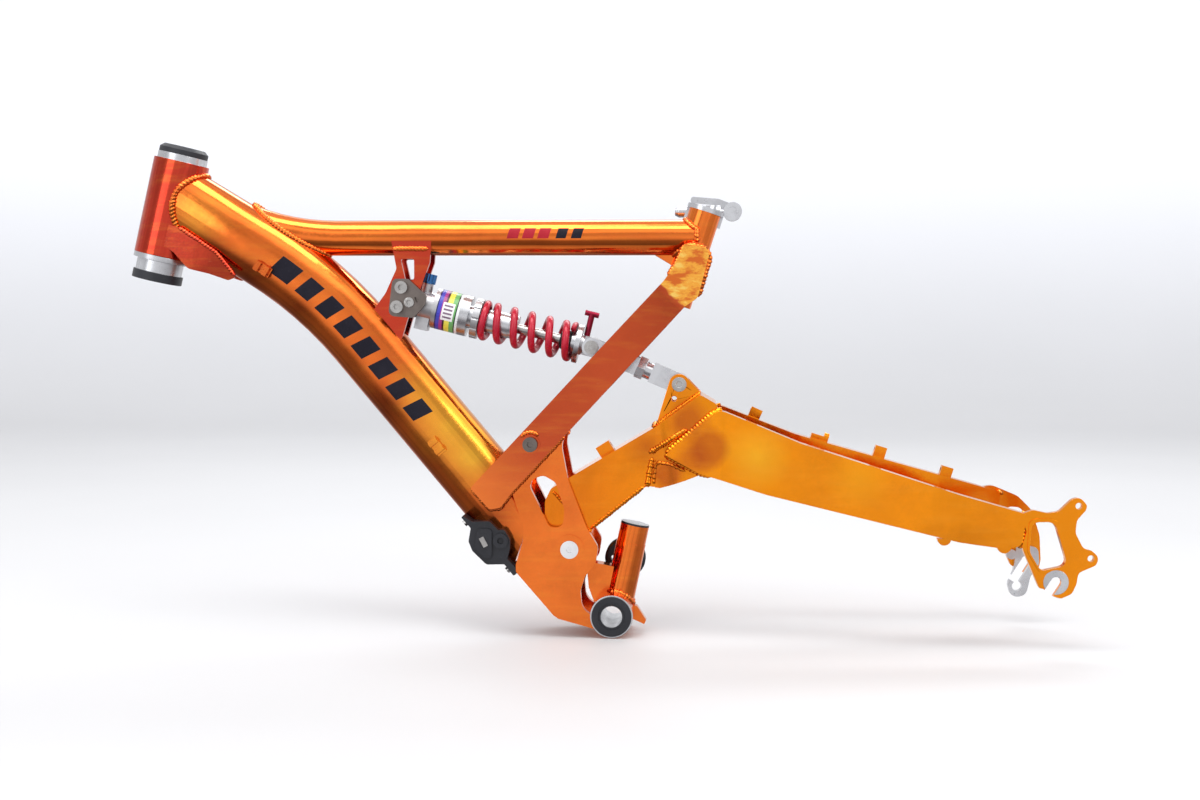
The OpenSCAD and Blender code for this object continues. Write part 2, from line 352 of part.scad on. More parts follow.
module jam_nut() color([0.82, 0.83, 0.85]) link_at() difference() { translate([49, 0, 0]) rotate([0, 90, 0]) rotate([0, 0, 30]) cylinder(h = 8, r = 12.4, $fn = 6); translate([40, 0, 0]) rotate([0, 90, 0]) cylinder(h = 20, r = 6, $fn = 40); }
module rod_end() color(silver) link_at() difference() {
  union() { translate([31, 0, 0]) rotate([0, 90, 0]) cylinder(h = 34, r = 6, $fn = 40); translate([57, 0, 0]) rotate([0, 90, 0]) cylinder(h = 8, r = 8.6, $fn = 40); translate([64, -9, -10]) cube([22, 18, 20]); yc([lk_len, 0], -9, 9, 10); translate([80, -9, -10]) cube([lk_len - 80, 18, 20]); }
  yc([lk_len, 0], -20, 20, 6, 40);
}

// ---- swingarm ----
module neck_side(w = 0) { polygon(rounded([[-60 + w, 124.5 - w * 1.2, 7], [-66 + w, 112, 12], [-66 + w, 90, 10], [-58.5 + w, 66, 12], [-48, 48.5 + w, 10], [-33, 48.5 + w, 10], [-20.5 - w, 66 + w * 0.6, 6], [-20 - w * 0.4, 84.2 + w, 6], [33.3, 127.6 + w, 12], [42, 126.6 + w, 0], [42, 185.4 - w * 1.2, 0]], 4)); }
module swingarm_neck() color(gold) difference() {
  xz(-neck_half, neck_half) neck_side();
  difference() { xz(-neck_half + 2.6, neck_half - 2.6) neck_side(2.6); yc(piv, -30, 30, shell_r); }
  yc(piv, -30, 30, axle_r + 2); both() yc(piv, 17, 30, bearing_r);
  xz(-30, 30) translate([42, 126.6]) square([10, 70]);
}
module yoke_side(w = 0) { polygon(rounded([[42 + w, 126.2 + w, 0], [47, 125.7 + w, 8], [71.3, 133.7 + w, 0], [86 - w, 139.5 + w, 0], [104 - w, 200 - w, 3], [101.4 - w, 208.6 - w, 3], [86, 217.6 - w * 1.2, 4], [42 + w, 185.4 - w * 1.2, 0]], 4)); }
module yoke_plan(w = 0) { translate([0, 0, 100]) linear_extrude(140) polygon([[42 + w, -neck_half - 0.5 + w], [60, -35.5 + w], [106 - w, -35.5 + w], [106 - w, 35.5 - w], [60, 35.5 - w], [42 + w, neck_half + 0.5 - w]]); }
module swingarm_yoke() color(gold) difference() {
  intersection() { xz(-60, 60) yoke_side(); yoke_plan(); }
  intersection() { xz(-60, 60) yoke_side(3); yoke_plan(3); }
}
module ear_plates() color(gold) both() difference() {
  xz(10.4, 15.4) polygon(concat([[42.5, 185.8], [87, 218.2]], arc(ear_g, 10, 38, 166, 12)));
  xz(0, 40) yoke_side();
  yc(ear_g, 0, 30, 5, 32);
  yc([60.4, 212.4], 0, 30, 2.6, 24);
}
module ear_bolt() color(silver) difference() { union() { yc(ear_g, -15.4, 15.4, 5, 32); both() yc(ear_g, 15.4, 19, 7.2, 40); } both() yc(ear_g, 17, 20, 3, 6); }
// arm: side outline crossed with plan outline; k lifts the rear of the drive-side arm
module arm_side(k, w = 0) { polygon(rounded([[52 + w * 1.2, 159.5, 3], [103.5, 204.5 - w * 1.2, 12], [182, 172.4 + k * 0.3 - w, 60], [329.1, 126 + k - w, 200], [391 - w, 108.6 + k - w, 3], [387.5 - w, 77.5 + w, 8], [368, 76 + w, 30], [329.7, 81 + w, 60], [148.7, 123 + w, 60], [106, 136.2 + w, 20], [84.5, 142.2 + w, 12]], 4)); }
module arm_plan(w = 0) { translate([0, 0, 40]) linear_extrude(220) polygon([[40 + w, 35.5 + w], [106, 35.5 + w], [190, 38 + w], [330, 54 + w], [392 - w, 57.5 + w], [392 - w, 75 - w], [345, 74.5 - w], [200, 61 - w], [104, 52.5 - w], [72, 46 - w], [40 + w, 41 - w]]); }
module arm_half(k) difference() {
  intersection() { xz(0, 90) arm_side(k); arm_plan(); }
  intersection() { xz(0, 90) arm_side(k, arm_wall); arm_plan(arm_wall); }
}
module arm_left() color(gold) mirror([0, 1, 0]) arm_half(0);
module arm_right() color(gold) arm_half(6);
module axle_slot(r, y0, y1) { yc(axle, y0, y1, r, 40); xz(y0, y1) translate([axle[0], axle[1]]) rotate(-122) translate([0, -r]) square([26, 2 * r]); }
module dropout_left() color(gold) difference() {
  union() {
    xz(-drop_in - drop_t, -drop_in) polygon(rounded([[386.5, 108.5, 2], [397, 112.5, 8], [411, 109.5, 10], [421.2, 111, 8], [433, 122.6, 8], [440.5, 124.8, 6.5], [447.4, 117, 4.6], [446, 112.4, 3], [438, 103, 8], [436.6, 91, 12], [444.5, 76, 8], [452, 74.6, 6.5], [459.2, 68, 6.5], [456, 60.6, 5], [440, 53.4, 6], [438.5, 43, 10], [434.4, 33.5, 8], [424, 28.8, 6], [414, 32, 0], [408, 38, 0], [404, 38.5, 3], [389.5, 72, 12], [387.5, 78, 0], [391.5, 92, 4]], 4));
    // raised rim around the window
    xz(-drop_in - drop_t - 1.6, -drop_in - 1) polygon(rounded([[393.6, 104, 7], [420, 105.5, 11], [433.4, 57.5, 9], [404.6, 52.2, 7], [392.2, 73, 12]], 5));
  }
  xz(-80, -60) polygon(rounded([[396.2, 101, 7], [417.2, 101.5, 9], [429.6, 60.5, 7], [405, 55, 6], [394.4, 73, 12]], 5));
  yc([439.5, 116.4], -80, -60, 3.1, 32);
  yc([451.4, 67], -80, -60, 3.1, 32);
  axle_slot(slot_r, -80, -60);
  yc(axle, -80, -drop_in - drop_t + 1.2, 11.8, 48);
  arm_block(-1);
}
module arm_block(s) { mirror([0, s < 0 ? 1 : 0, 0]) intersection() { xz(0, 90) arm_side(s < 0 ? 0 : 6); arm_plan(); } }
module dropout_right() color(gold) difference() {
  xz(drop_in, drop_in + drop_t) polygon(rounded([[372, 118, 6], [384, 120.5, 14], [410.3, 109.5, 12], [424, 96, 14], [433, 70, 30], [434.4, 44, 12], [432, 32, 8], [420, 29, 6], [411, 34, 0], [404, 38.5, 3], [389.5, 72, 12], [372, 82, 0]], 4));
  xz(60, 80) polygon(rounded([[398, 99, 7], [415.2, 97.5, 9], [426, 62.5, 7], [405, 57, 6], [396, 73, 12]], 5));
  axle_slot(slot_r, 60, 80);
  yc(axle, drop_in + drop_t - 1.2, 80, 11.8, 48);
  arm_block(1);
}
module insert_side(y0, y1) difference() { yc(axle, y0, y1, 11.8, 48); axle_slot(slot_r, y0 - 1, y1 + 1); yc([axle[0] - 9, axle[1] - 14.5], y0 - 1, y1 + 1, 3, 16); }
module axle_inserts() color(silver) both() insert_side(drop_in + drop_t - 1.2, drop_in + drop_t + 0.4);
hang = [409.6, 17.6];
module derailleur_hanger() color(silver) difference() {
  union() { xz(drop_in - 6, drop_in) polygon(rounded([[409, 62, 4], [430.5, 57, 6], [432, 41, 8], [423, 27, 10], [419, 8, 9], [404, 5.6, 8], [400, 20, 10], [406, 34, 8]], 5)); yc([404, 50], drop_in - 6, drop_in, 5, 24); }
  yc(hang, 50, 80, 4.9, 32);
  axle_slot(slot_r, 50, 80);
  arm_block(1);
}
module arm_guides() color(gold) difference() {
  union() {
    // cable stops on top of the drive-side arm, and the loop on the neck
    for (g = [[140, 50, 190, 24], [268, 62, 150.5, 17], [336, 68, 129.4, 17]]) translate([g[0], g[1], g[2]]) rotate([0, g[3], 0]) difference() { translate([-6, -4.5, -5]) cube([12, 9, 15]); translate([-8, 0, 5.8]) rotate([0, 90, 0]) cylinder(h = 16, r = 2.3, $fn = 20); }
    translate([207, 56, 168]) rotate([0, 17, 0]) { translate([-9, -4, -4]) cube([18, 8, 8]); translate([4, 0, 4]) rotate([0, 90, 0]) cylinder(h = 5, r = 4, $fn = 24); }
    translate([-4, 0, 155.6]) rotate([0, -32.3, 0]) difference() { translate([-7.5, -8, -3]) cube([15, 16, 16]); translate([-9, 0, 8]) rotate([0, 90, 0]) cylinder(h = 18, r = 2.6, $fn = 20); }
    for (x = [316, 372]) mirror([0, 1, 0]) xz(62, 70) polygon(arc([x, x < 350 ? 84 : 77], 6.5, 180, 360, 10));
  }
  arm_block(1); arm_block(-1);
  xz(-neck_half, neck_half) neck_side();
}

head_tube();
down_tube();
top_tube();
head_gusset();
seat_tube();
seat_strut_left();
seat_strut_right();
pivot_plate_left();
pivot_plate_right();
plate_bridge();
shock_bracket_left();
shock_bracket_right();
bb_shell();
derailleur_stub();
stub_plug();
bb_cups();
bb_sleeve();
headset_cup_upper();
headset_cup_lower();
headset_cap();
crown_race();
seat_collar();
qr_skewer();
qr_lever();
frame_guides();
guide_block();
frame_bolts();
pivot_axle();
pivot_caps();
pivot_bearings();
roller_bolt();
chain_roller();
clamp_plates();
clamp_bolts();
shock_pin();
shock_head();
adjuster_knob();
shock_cylinder();
preload_collar();
coil_spring();
damper_shaft();
bump_stop();
spring_retainer();
shock_eye();
lockout_knob();
link_clevis();
eye_bolt();
jam_nut();
rod_end();
swingarm_neck();
swingarm_yoke();
ear_plates();
ear_bolt();
arm_left();
arm_right();
dropout_left();
dropout_right();
axle_inserts();
derailleur_hanger();
arm_guides();
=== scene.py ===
import json
import math
import random

import bmesh
import bpy
from mathutils import Matrix, Vector


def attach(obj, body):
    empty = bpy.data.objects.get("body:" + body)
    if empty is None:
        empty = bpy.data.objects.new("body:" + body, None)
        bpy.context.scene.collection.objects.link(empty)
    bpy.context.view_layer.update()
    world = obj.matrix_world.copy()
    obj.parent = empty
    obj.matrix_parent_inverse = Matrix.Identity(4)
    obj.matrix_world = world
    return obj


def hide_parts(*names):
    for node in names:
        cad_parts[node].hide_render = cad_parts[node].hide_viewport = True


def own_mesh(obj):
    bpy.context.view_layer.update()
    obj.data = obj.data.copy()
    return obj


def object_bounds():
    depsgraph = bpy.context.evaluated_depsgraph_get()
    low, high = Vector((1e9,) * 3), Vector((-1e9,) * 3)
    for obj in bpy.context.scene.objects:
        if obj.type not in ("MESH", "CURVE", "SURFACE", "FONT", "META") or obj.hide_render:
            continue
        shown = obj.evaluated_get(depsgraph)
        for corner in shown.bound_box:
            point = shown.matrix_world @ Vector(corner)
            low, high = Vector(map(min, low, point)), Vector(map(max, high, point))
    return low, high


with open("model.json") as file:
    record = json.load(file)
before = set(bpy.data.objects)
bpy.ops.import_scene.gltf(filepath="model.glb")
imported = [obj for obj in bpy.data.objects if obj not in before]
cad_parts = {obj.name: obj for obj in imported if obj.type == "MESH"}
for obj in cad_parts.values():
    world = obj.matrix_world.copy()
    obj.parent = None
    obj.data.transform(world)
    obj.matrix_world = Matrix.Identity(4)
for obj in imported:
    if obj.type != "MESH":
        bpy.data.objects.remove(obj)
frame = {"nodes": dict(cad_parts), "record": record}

CAD_LO, CAD_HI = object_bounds()
nodes = frame["nodes"]
slots = {s["node"]: s["material_slot"] for s in frame["record"]["subparts"]}
scene = bpy.context.scene
MM = 0.001
sin, cos, pi = math.sin, math.cos, math.pi


def rad(d):
    return math.radians(d)


# ---------------------------------------------------------------- camera
yaw, pitch = rad(3.3), rad(-3.26)
c_right = Vector((cos(yaw), sin(yaw), 0))
c_fwd = Vector((-sin(yaw) * cos(pitch), cos(yaw) * cos(pitch), sin(pitch)))
c_up = c_right.cross(c_fwd)
cam_data = bpy.data.cameras.new("camera")
cam_data.sensor_width = 36.0
cam_data.lens = 49.5
cam_data.clip_start = 0.05
cam_data.clip_end = 30
cam = bpy.data.objects.new("camera", cam_data)
scene.collection.objects.link(cam)
cam.matrix_world = Matrix.Translation((0.0808, -1.632, 0.3032)) @ Matrix(
    (c_right, c_up, -c_fwd)
).transposed().to_4x4()
scene.camera = cam
scene.view_settings.view_transform = "Standard"
scene.view_settings.look = "None"
scene.view_settings.exposure = 0.0

# ---------------------------------------------------------------- shape of the frame, in millimetres (side view x, z)
HT_L = rad(13.1)
HT_D = Vector((sin(HT_L), 0, cos(HT_L)))
HT_TOP = Vector((-431.5, 0, 446.8))
HT_BOT = HT_TOP - 96 * HT_D
HT_R = 27.3
DT_R, DT_F, DT_B = 35.0, 28.0, 400.0
DT_V = (-292.2, 322.0)
DT_A1, DT_A2 = 31.4, 50.0
DT_T = DT_B * math.tan(rad((DT_A2 - DT_A1) / 2))
DT_C = (
    DT_V[0] - DT_T * cos(rad(DT_A1)) - DT_B * sin(rad(DT_A1)),
    DT_V[1] + DT_T * sin(rad(DT_A1)) - DT_B * cos(rad(DT_A1)),
)
TT_R, TT_Z = 17.5, 370.5
ST_L = rad(18)
ST_D = Vector((sin(ST_L), 0, cos(ST_L)))
ST_TOP = Vector((90.5, 0, 396.1))
ST_R = 15.9
PIV = (-41.0, 66.0)
SH_F, SH_E, EAR = (-200.0, 306.7), (-21.2, 262.7), (65.3, 226.6)
SH_A = math.atan2(SH_F[1] - SH_E[1], SH_E[0] - SH_F[0])
SH_LEN = math.hypot(SH_E[0] - SH_F[0], SH_F[1] - SH_E[1])
AXLE = (419.4, 44.3)


def dt_point(s):
    """centreline of the down tube: s from the start of the bend; returns x, z, angle below +X"""
    arc = DT_B * rad(DT_A2 - DT_A1)
    if s < 0:
        a = rad(DT_A1)
        x0, z0 = DT_C[0] + DT_B * sin(a), DT_C[1] + DT_B * cos(a)
        return x0 + s * cos(a), z0 - s * sin(a), a
    if s < arc:
        a = rad(DT_A1) + s / DT_B
        return DT_C[0] + DT_B * sin(a), DT_C[1] + DT_B * cos(a), a
    a = rad(DT_A2)
    x0, z0 = DT_C[0] + DT_B * sin(a), DT_C[1] + DT_B * cos(a)
    return x0 + (s - arc) * cos(a), z0 - (s - arc) * sin(a), a


def dt_local(x, z):
    """(s, n) of a side view point against the down tube centreline"""
    a1, a2 = rad(DT_A1), rad(DT_A2)
    dx, dz = x - DT_C[0], z - DT_C[1]
    a = math.atan2(dx, dz)
    if a < a1:
        x0, z0 = DT_C[0] + DT_B * sin(a1), DT_C[1] + DT_B * cos(a1)
        s = (x - x0) * cos(a1) - (z - z0) * sin(a1)
        return s, (x - x0) * sin(a1) + (z - z0) * cos(a1)
    if a > a2:
        x0, z0 = DT_C[0] + DT_B * sin(a2), DT_C[1] + DT_B * cos(a2)
        s = (x - x0) * cos(a2) - (z - z0) * sin(a2)
        return s + DT_B * (a2 - a1), (x - x0) * sin(a2) + (z - z0) * cos(a2)
    return DT_B * (a - a1), math.hypot(dx, dz) - DT_B


OVAL = 2 / 0.84


def spow(v):
    return math.copysign(abs(v) ** 0.84, v)


def dt_half(s):
    """half height and half width of the oval section"""
    f = min(max((-44.5 - s) / 62.7, 0.0), 1.0)
    return DT_R - 0.9 * f, DT_F - 2.0 * f


def dt_sdf(p):
    s, n = dt_local(p.x, p.z)
    r, w = dt_half(s)
    return (abs(p.y) / w) ** OVAL + (abs(n) / r) ** OVAL - 1


def dt_surf(s, th):
    """point on the down tube skin; th 90 is the top line"""
    x, z, a = dt_point(s)
    r, w = dt_half(s)
    y, n = w * spow(cos(th)), r * spow(sin(th))
    return Vector((x + n * sin(a), y, z + n * cos(a)))


def dt_side(s, n):
    """y of the near side skin at height n on the section"""
    r, w = dt_half(s)
    return -w * max(0.0, 1 - (abs(n) / r) ** OVAL) ** (1 / OVAL)


def ht_sdf(p):
    d = p - HT_BOT
    return (d - d.dot(HT_D) * HT_D).length - HT_R


def st_sdf(p):
    d = p - ST_TOP
    return (d - d.dot(ST_D) * ST_D).length - ST_R


def tt_point(s):
    """top tube centreline from the front: bend of 250 mm over 21 degrees, then straight"""
    arc = 250 * rad(21)
    if s < arc:
        a = rad(21) - s / 250
        return -275 - 250 * sin(a), TT_Z + 250 * (1 - cos(a)), a
    return -275 + (s - arc), TT_Z, 0.0


def tt_surf(s, th):
    x, z, a = tt_point(s)
    y, n = TT_R * cos(th), TT_R * sin(th)
    return Vector((x + n * sin(a), y, z + n * cos(a)))


def march(surf, sdf, s0, s1, n=90, th0=0.0, th1=2 * pi):
    """points of surf(s, th) on the zero of sdf, found by bisection along s"""
    out = []
    for i in range(n + 1):
        th = th0 + (th1 - th0) * i / n
        a, b = s0, s1
        fa = sdf(surf(a, th))
        for _ in range(40):
            m = (a + b) / 2
            fm = sdf(surf(m, th))
            if (fm > 0) == (fa > 0):
                a, fa = m, fm
            else:
                b = m
        out.append(surf((a + b) / 2, th))
    return out


# ---------------------------------------------------------------- mesh makers
def new_object(name, verts, faces, smooth=True, angle=None):
    me = bpy.data.meshes.new(name)
    me.from_pydata([tuple(Vector(v) * MM) for v in verts], [], faces)
    bm = bmesh.new()
    bm.from_mesh(me)
    bmesh.ops.remove_doubles(bm, verts=bm.verts, dist=1e-7)
    bmesh.ops.recalc_face_normals(bm, faces=bm.faces)
    bm.to_mesh(me)
    bm.free()
    for p in me.polygons:
        p.use_smooth = smooth
    o = bpy.data.objects.new(name, me)
    scene.collection.objects.link(o)
    if angle is not None:
        smooth_by_angle(o, angle)
    return o


def smooth_by_angle(o, angle):
    """marks edges sharper than angle, so the rest shade smooth"""
    bm = bmesh.new()
    bm.from_mesh(o.data)
    lim = rad(angle)
    for f in bm.faces:
        f.smooth = True
    for e in bm.edges:
        e.smooth = not (len(e.link_faces) == 2 and e.calc_face_angle(0) > lim)
    bm.to_mesh(o.data)
    bm.free()


def loft(rings, closed=False, cap=True):
    """verts and faces of rings of equal length"""
    n = len(rings[0])
    verts = [p for r in rings for p in r]
    faces = []
    m = len(rings)
    for i in range(m if closed else m - 1):
        for j in range(n):
            a, b = i * n + j, i * n + (j + 1) % n
            c, d = ((i + 1) % m) * n + (j + 1) % n, ((i + 1) % m) * n + j
            faces.append((a, b, c, d))
    if cap and not closed:
        for k, base in ((0, 0), (1, (m - 1) * n)):
            centre = sum((Vector(verts[base + j]) for j in range(n)), Vector()) / n
            verts.append(centre)
            ci = len(verts) - 1
            for j in range(n):
                faces.append((base + j, base + (j + 1) % n, ci))
    return verts, faces


def join_meshes(parts):
    verts, faces = [], []
    for v, f in parts:
        o = len(verts)
        verts.extend(v)
        faces.extend(tuple(i + o for i in q) for q in f)
    return verts, faces


def resample(path, step, closed):
    pts = [Vector(p) for p in path]
    if closed and (pts[0] - pts[-1]).length > 1e-3:
        pts.append(pts[0].copy())
    d = [0.0]
    for a, b in zip(pts, pts[1:]):
        d.append(d[-1] + (b - a).length)
    total = d[-1]
    n = max(6, int(total / step))
    out, k = [], 0
    for i in range(n + (0 if closed else 1)):
        t = total * i / n
        while k < len(d) - 2 and d[k + 1] < t:
            k += 1
        f = (t - d[k]) / max(d[k + 1] - d[k], 1e-9)
        out.append(pts[k].lerp(pts[k + 1], min(max(f, 0), 1)))
    return out, total


rng = random.Random(7)


def bead(path, r=2.3, closed=False, pitch=3.1, out=0.25, flat=0.72, normal=None):
    """a weld bead: overlapping crescent ripples along a path"""
    step = 0.62
    pts, total = resample(path, step, closed)
    m = len(pts)
    centre = sum(pts, Vector()) / m
    rings = []
    count = max(3, round(total / pitch))
    jit = [(rng.uniform(-0.12, 0.12), rng.uniform(-0.10, 0.10), rng.uniform(-0.18, 0.18)) for _ in range(count + 2)]
    for i, p in enumerate(pts):
        a = pts[(i - 1) % m] if closed or i > 0 else pts[i]
        b = pts[(i + 1) % m] if closed or i < m - 1 else pts[i]
        t = (b - a).normalized()
        up = normal(p) if normal else (p - centre)
        up = (up - up.dot(t) * t)
        if up.length < 1e-6:
            up = Vector((0, 0, 1)) - t.z * t
        up.normalize()
        w = t.cross(up)
        u = (i / m) * count
        k = int(u)
        f = u - k
        ramp = 1.0 - 0.34 * f ** 1.4 if f < 0.86 else 0.69 + 0.31 * ((f - 0.86) / 0.14)
        j = jit[k]
        end = 1.0
        if not closed:
            e = min(i, m - 1 - i) * step
            end = min(1.0, 0.25 + 0.75 * math.sqrt(min(e / (r * 1.3), 1.0)))
        rr = r * ramp * (1 + j[0]) * end
        q = p + w * (j[2] * 0.8) + up * (out + j[1] * 0.4)
        ring = []
        for a_i in range(10):
            th = 2 * pi * a_i / 10
            drag = 0.9 * cos(th) ** 2 * r * 0.5
            ring.append(q + w * (rr * 1.15 * cos(th)) + up * (rr * flat * sin(th)) - t * drag)
        rings.append(ring)
    return loft(rings, closed=closed)


def offset_poly(poly, d):
    """closed x, z outline moved inwards by d (poly runs anticlockwise)"""
    n = len(poly)
    out = []
    for i in range(n):
        a, b, c = poly[i - 1], poly[i], poly[(i + 1) % n]
        u = Vector((b[0] - a[0], b[1] - a[1])).normalized()
        v = Vector((c[0] - b[0], c[1] - b[1])).normalized()
        nu, nv = Vector((-u.y, u.x)), Vector((-v.y, v.x))
        m = nu + nv
        if m.length < 1e-6:
            m = nu
        m.normalize()
        k = d / max(m.dot(nu), 0.5)
        out.append((b[0] + m.x * k, b[1] + m.y * k))
    return out


def rounded(pts, n=6):
    """[x, z, r] corners to a polygon"""
    out = []
    m = len(pts)
    for i in range(m):
        a, b, c = pts[i - 1], pts[i], pts[(i + 1) % m]
        r = b[2]
        if r <= 0:
            out.append((b[0], b[1]))
            continue
        u = Vector((a[0] - b[0], a[1] - b[1])).normalized()
        w = Vector((c[0] - b[0], c[1] - b[1])).normalized()
        h = math.acos(max(-1, min(1, u.dot(w)))) / 2
        t = r / math.tan(h)
        bi = (u + w).normalized()
        o = Vector((b[0], b[1])) + bi * (r / sin(h))
        p, q = Vector((b[0], b[1])) + u * t, Vector((b[0], b[1])) + w * t
        s0 = math.atan2(p.y - o.y, p.x - o.x)
        s1 = math.atan2(q.y - o.y, q.x - o.x)
        d = (s1 - s0 + pi) % (2 * pi) - pi
        for k in range(n + 1):
            g = s0 + d * k / n
            out.append((o.x + r * cos(g), o.y + r * sin(g)))
    return out


def area2(poly):
    return sum(poly[i - 1][0] * poly[i][1] - poly[i][0] * poly[i - 1][1] for i in range(len(poly)))


# ---------------------------------------------------------------- materials
def tree(name):
    m = bpy.data.materials.new(name)
    m.use_nodes = True
    nt = m.node_tree
    bsdf = nt.nodes["Principled BSDF"]
    co = nt.nodes.new("ShaderNodeTexCoord")
    return m, nt, bsdf, co.outputs["Object"]


def node(nt, kind, **values):
    n = nt.nodes.new(kind)
    for k, v in values.items():
        if hasattr(n, k):
            setattr(n, k, v)
        else:
            n.inputs[k].default_value = v
    return n


def noise(nt, vec, scale, detail=3.0, rough=0.55, stretch=None, rot=None):
    if stretch:
        mp = node(nt, "ShaderNodeMapping")
        mp.inputs["Scale"].default_value = stretch
        if rot:
            mp.inputs["Rotation"].default_value = rot
        nt.links.new(vec, mp.inputs["Vector"])
        vec = mp.outputs["Vector"]
    n = node(nt, "ShaderNodeTexNoise")
    n.inputs["Scale"].default_value = scale
    n.inputs["Detail"].default_value = detail
    n.inputs["Roughness"].default_value = rough
    nt.links.new(vec, n.inputs["Vector"])
    return n.outputs["Fac"]


def ramp(nt, fac, stops, mode="EASE"):
    r = nt.nodes.new("ShaderNodeValToRGB")
    r.color_ramp.interpolation = mode
    el = r.color_ramp.elements
    while len(el) > 1:
        el.remove(el[-1])
    el[0].position, el[0].color = stops[0][0], (*stops[0][1], 1)
    for p, c in stops[1:]:
        e = el.new(p)
        e.color = (*c, 1)
    nt.links.new(fac, r.inputs["Fac"])
    return r.outputs["Color"]


def mix(nt, fac, a, b, blend="MIX"):
    m = nt.nodes.new("ShaderNodeMix")
    m.data_type = "RGBA"
    m.blend_type = blend
    for sock, val in ((m.inputs["Factor"], fac), (m.inputs[6], a), (m.inputs[7], b)):
        if isinstance(val, (int, float)):
            sock.default_value = val
        elif isinstance(val, tuple):
            sock.default_value = (*val, 1)
        else:
            nt.links.new(val, sock)
    return m.outputs[2]


def remap(nt, fac, lo, hi, a=0.0, b=1.0):
    m = node(nt, "ShaderNodeMapRange")
    m.inputs["From Min"].default_value = a
    m.inputs["From Max"].default_value = b
    m.inputs["To Min"].default_value = lo
    m.inputs["To Max"].default_value = hi
    nt.links.new(fac, m.inputs["Value"])
    return m.outputs["Result"]


def bump(nt, bsdf, height, strength, distance, prev=None):
    b = node(nt, "ShaderNodeBump")
    b.inputs["Strength"].default_value = strength
    b.inputs["Distance"].default_value = distance
    nt.links.new(height, b.inputs["Height"])
    if prev is not None:
        nt.links.new(prev, b.inputs["Normal"])
    nt.links.new(b.outputs["Normal"], bsdf.inputs["Normal"])
    return b.outputs["Normal"]


def axis_value(nt, vec, d, off=0.0):
    """dot product of the position with a direction, plus an offset"""
    v = node(nt, "ShaderNodeVectorMath")
    v.operation = "DOT_PRODUCT"
    v.inputs[1].default_value = d
    nt.links.new(vec, v.inputs[0])
    if not off:
        return v.outputs["Value"]
    m = node(nt, "ShaderNodeMath")
    m.operation = "ADD"
    m.inputs[1].default_value = off
    nt.links.new(v.outputs["Value"], m.inputs[0])
    return m.outputs[0]


def blob(nt, vec, x, z, r, soft, wob=0.012):
    """1 inside a soft uneven patch round a side-view position, in metres; the mask of the painted highlight and
    painted reflection patches
    """
    flat = node(nt, "ShaderNodeVectorMath")
    flat.operation = "MULTIPLY"
    flat.inputs[1].default_value = (1, 0, 1)
    nt.links.new(vec, flat.inputs[0])
    d = node(nt, "ShaderNodeVectorMath")
    d.operation = "DISTANCE"
    d.inputs[1].default_value = (x, 0, z)
    nt.links.new(flat.outputs[0], d.inputs[0])
    m = node(nt, "ShaderNodeMath")
    m.operation = "MULTIPLY_ADD"
    m.inputs[1].default_value = wob
    nt.links.new(noise(nt, vec, 26.0, 3.0, 0.6), m.inputs[0])
    nt.links.new(d.outputs["Value"], m.inputs[2])
    return remap(nt, m.outputs[0], 1.0, 0.0, r - soft + wob / 2, r + soft + wob / 2)


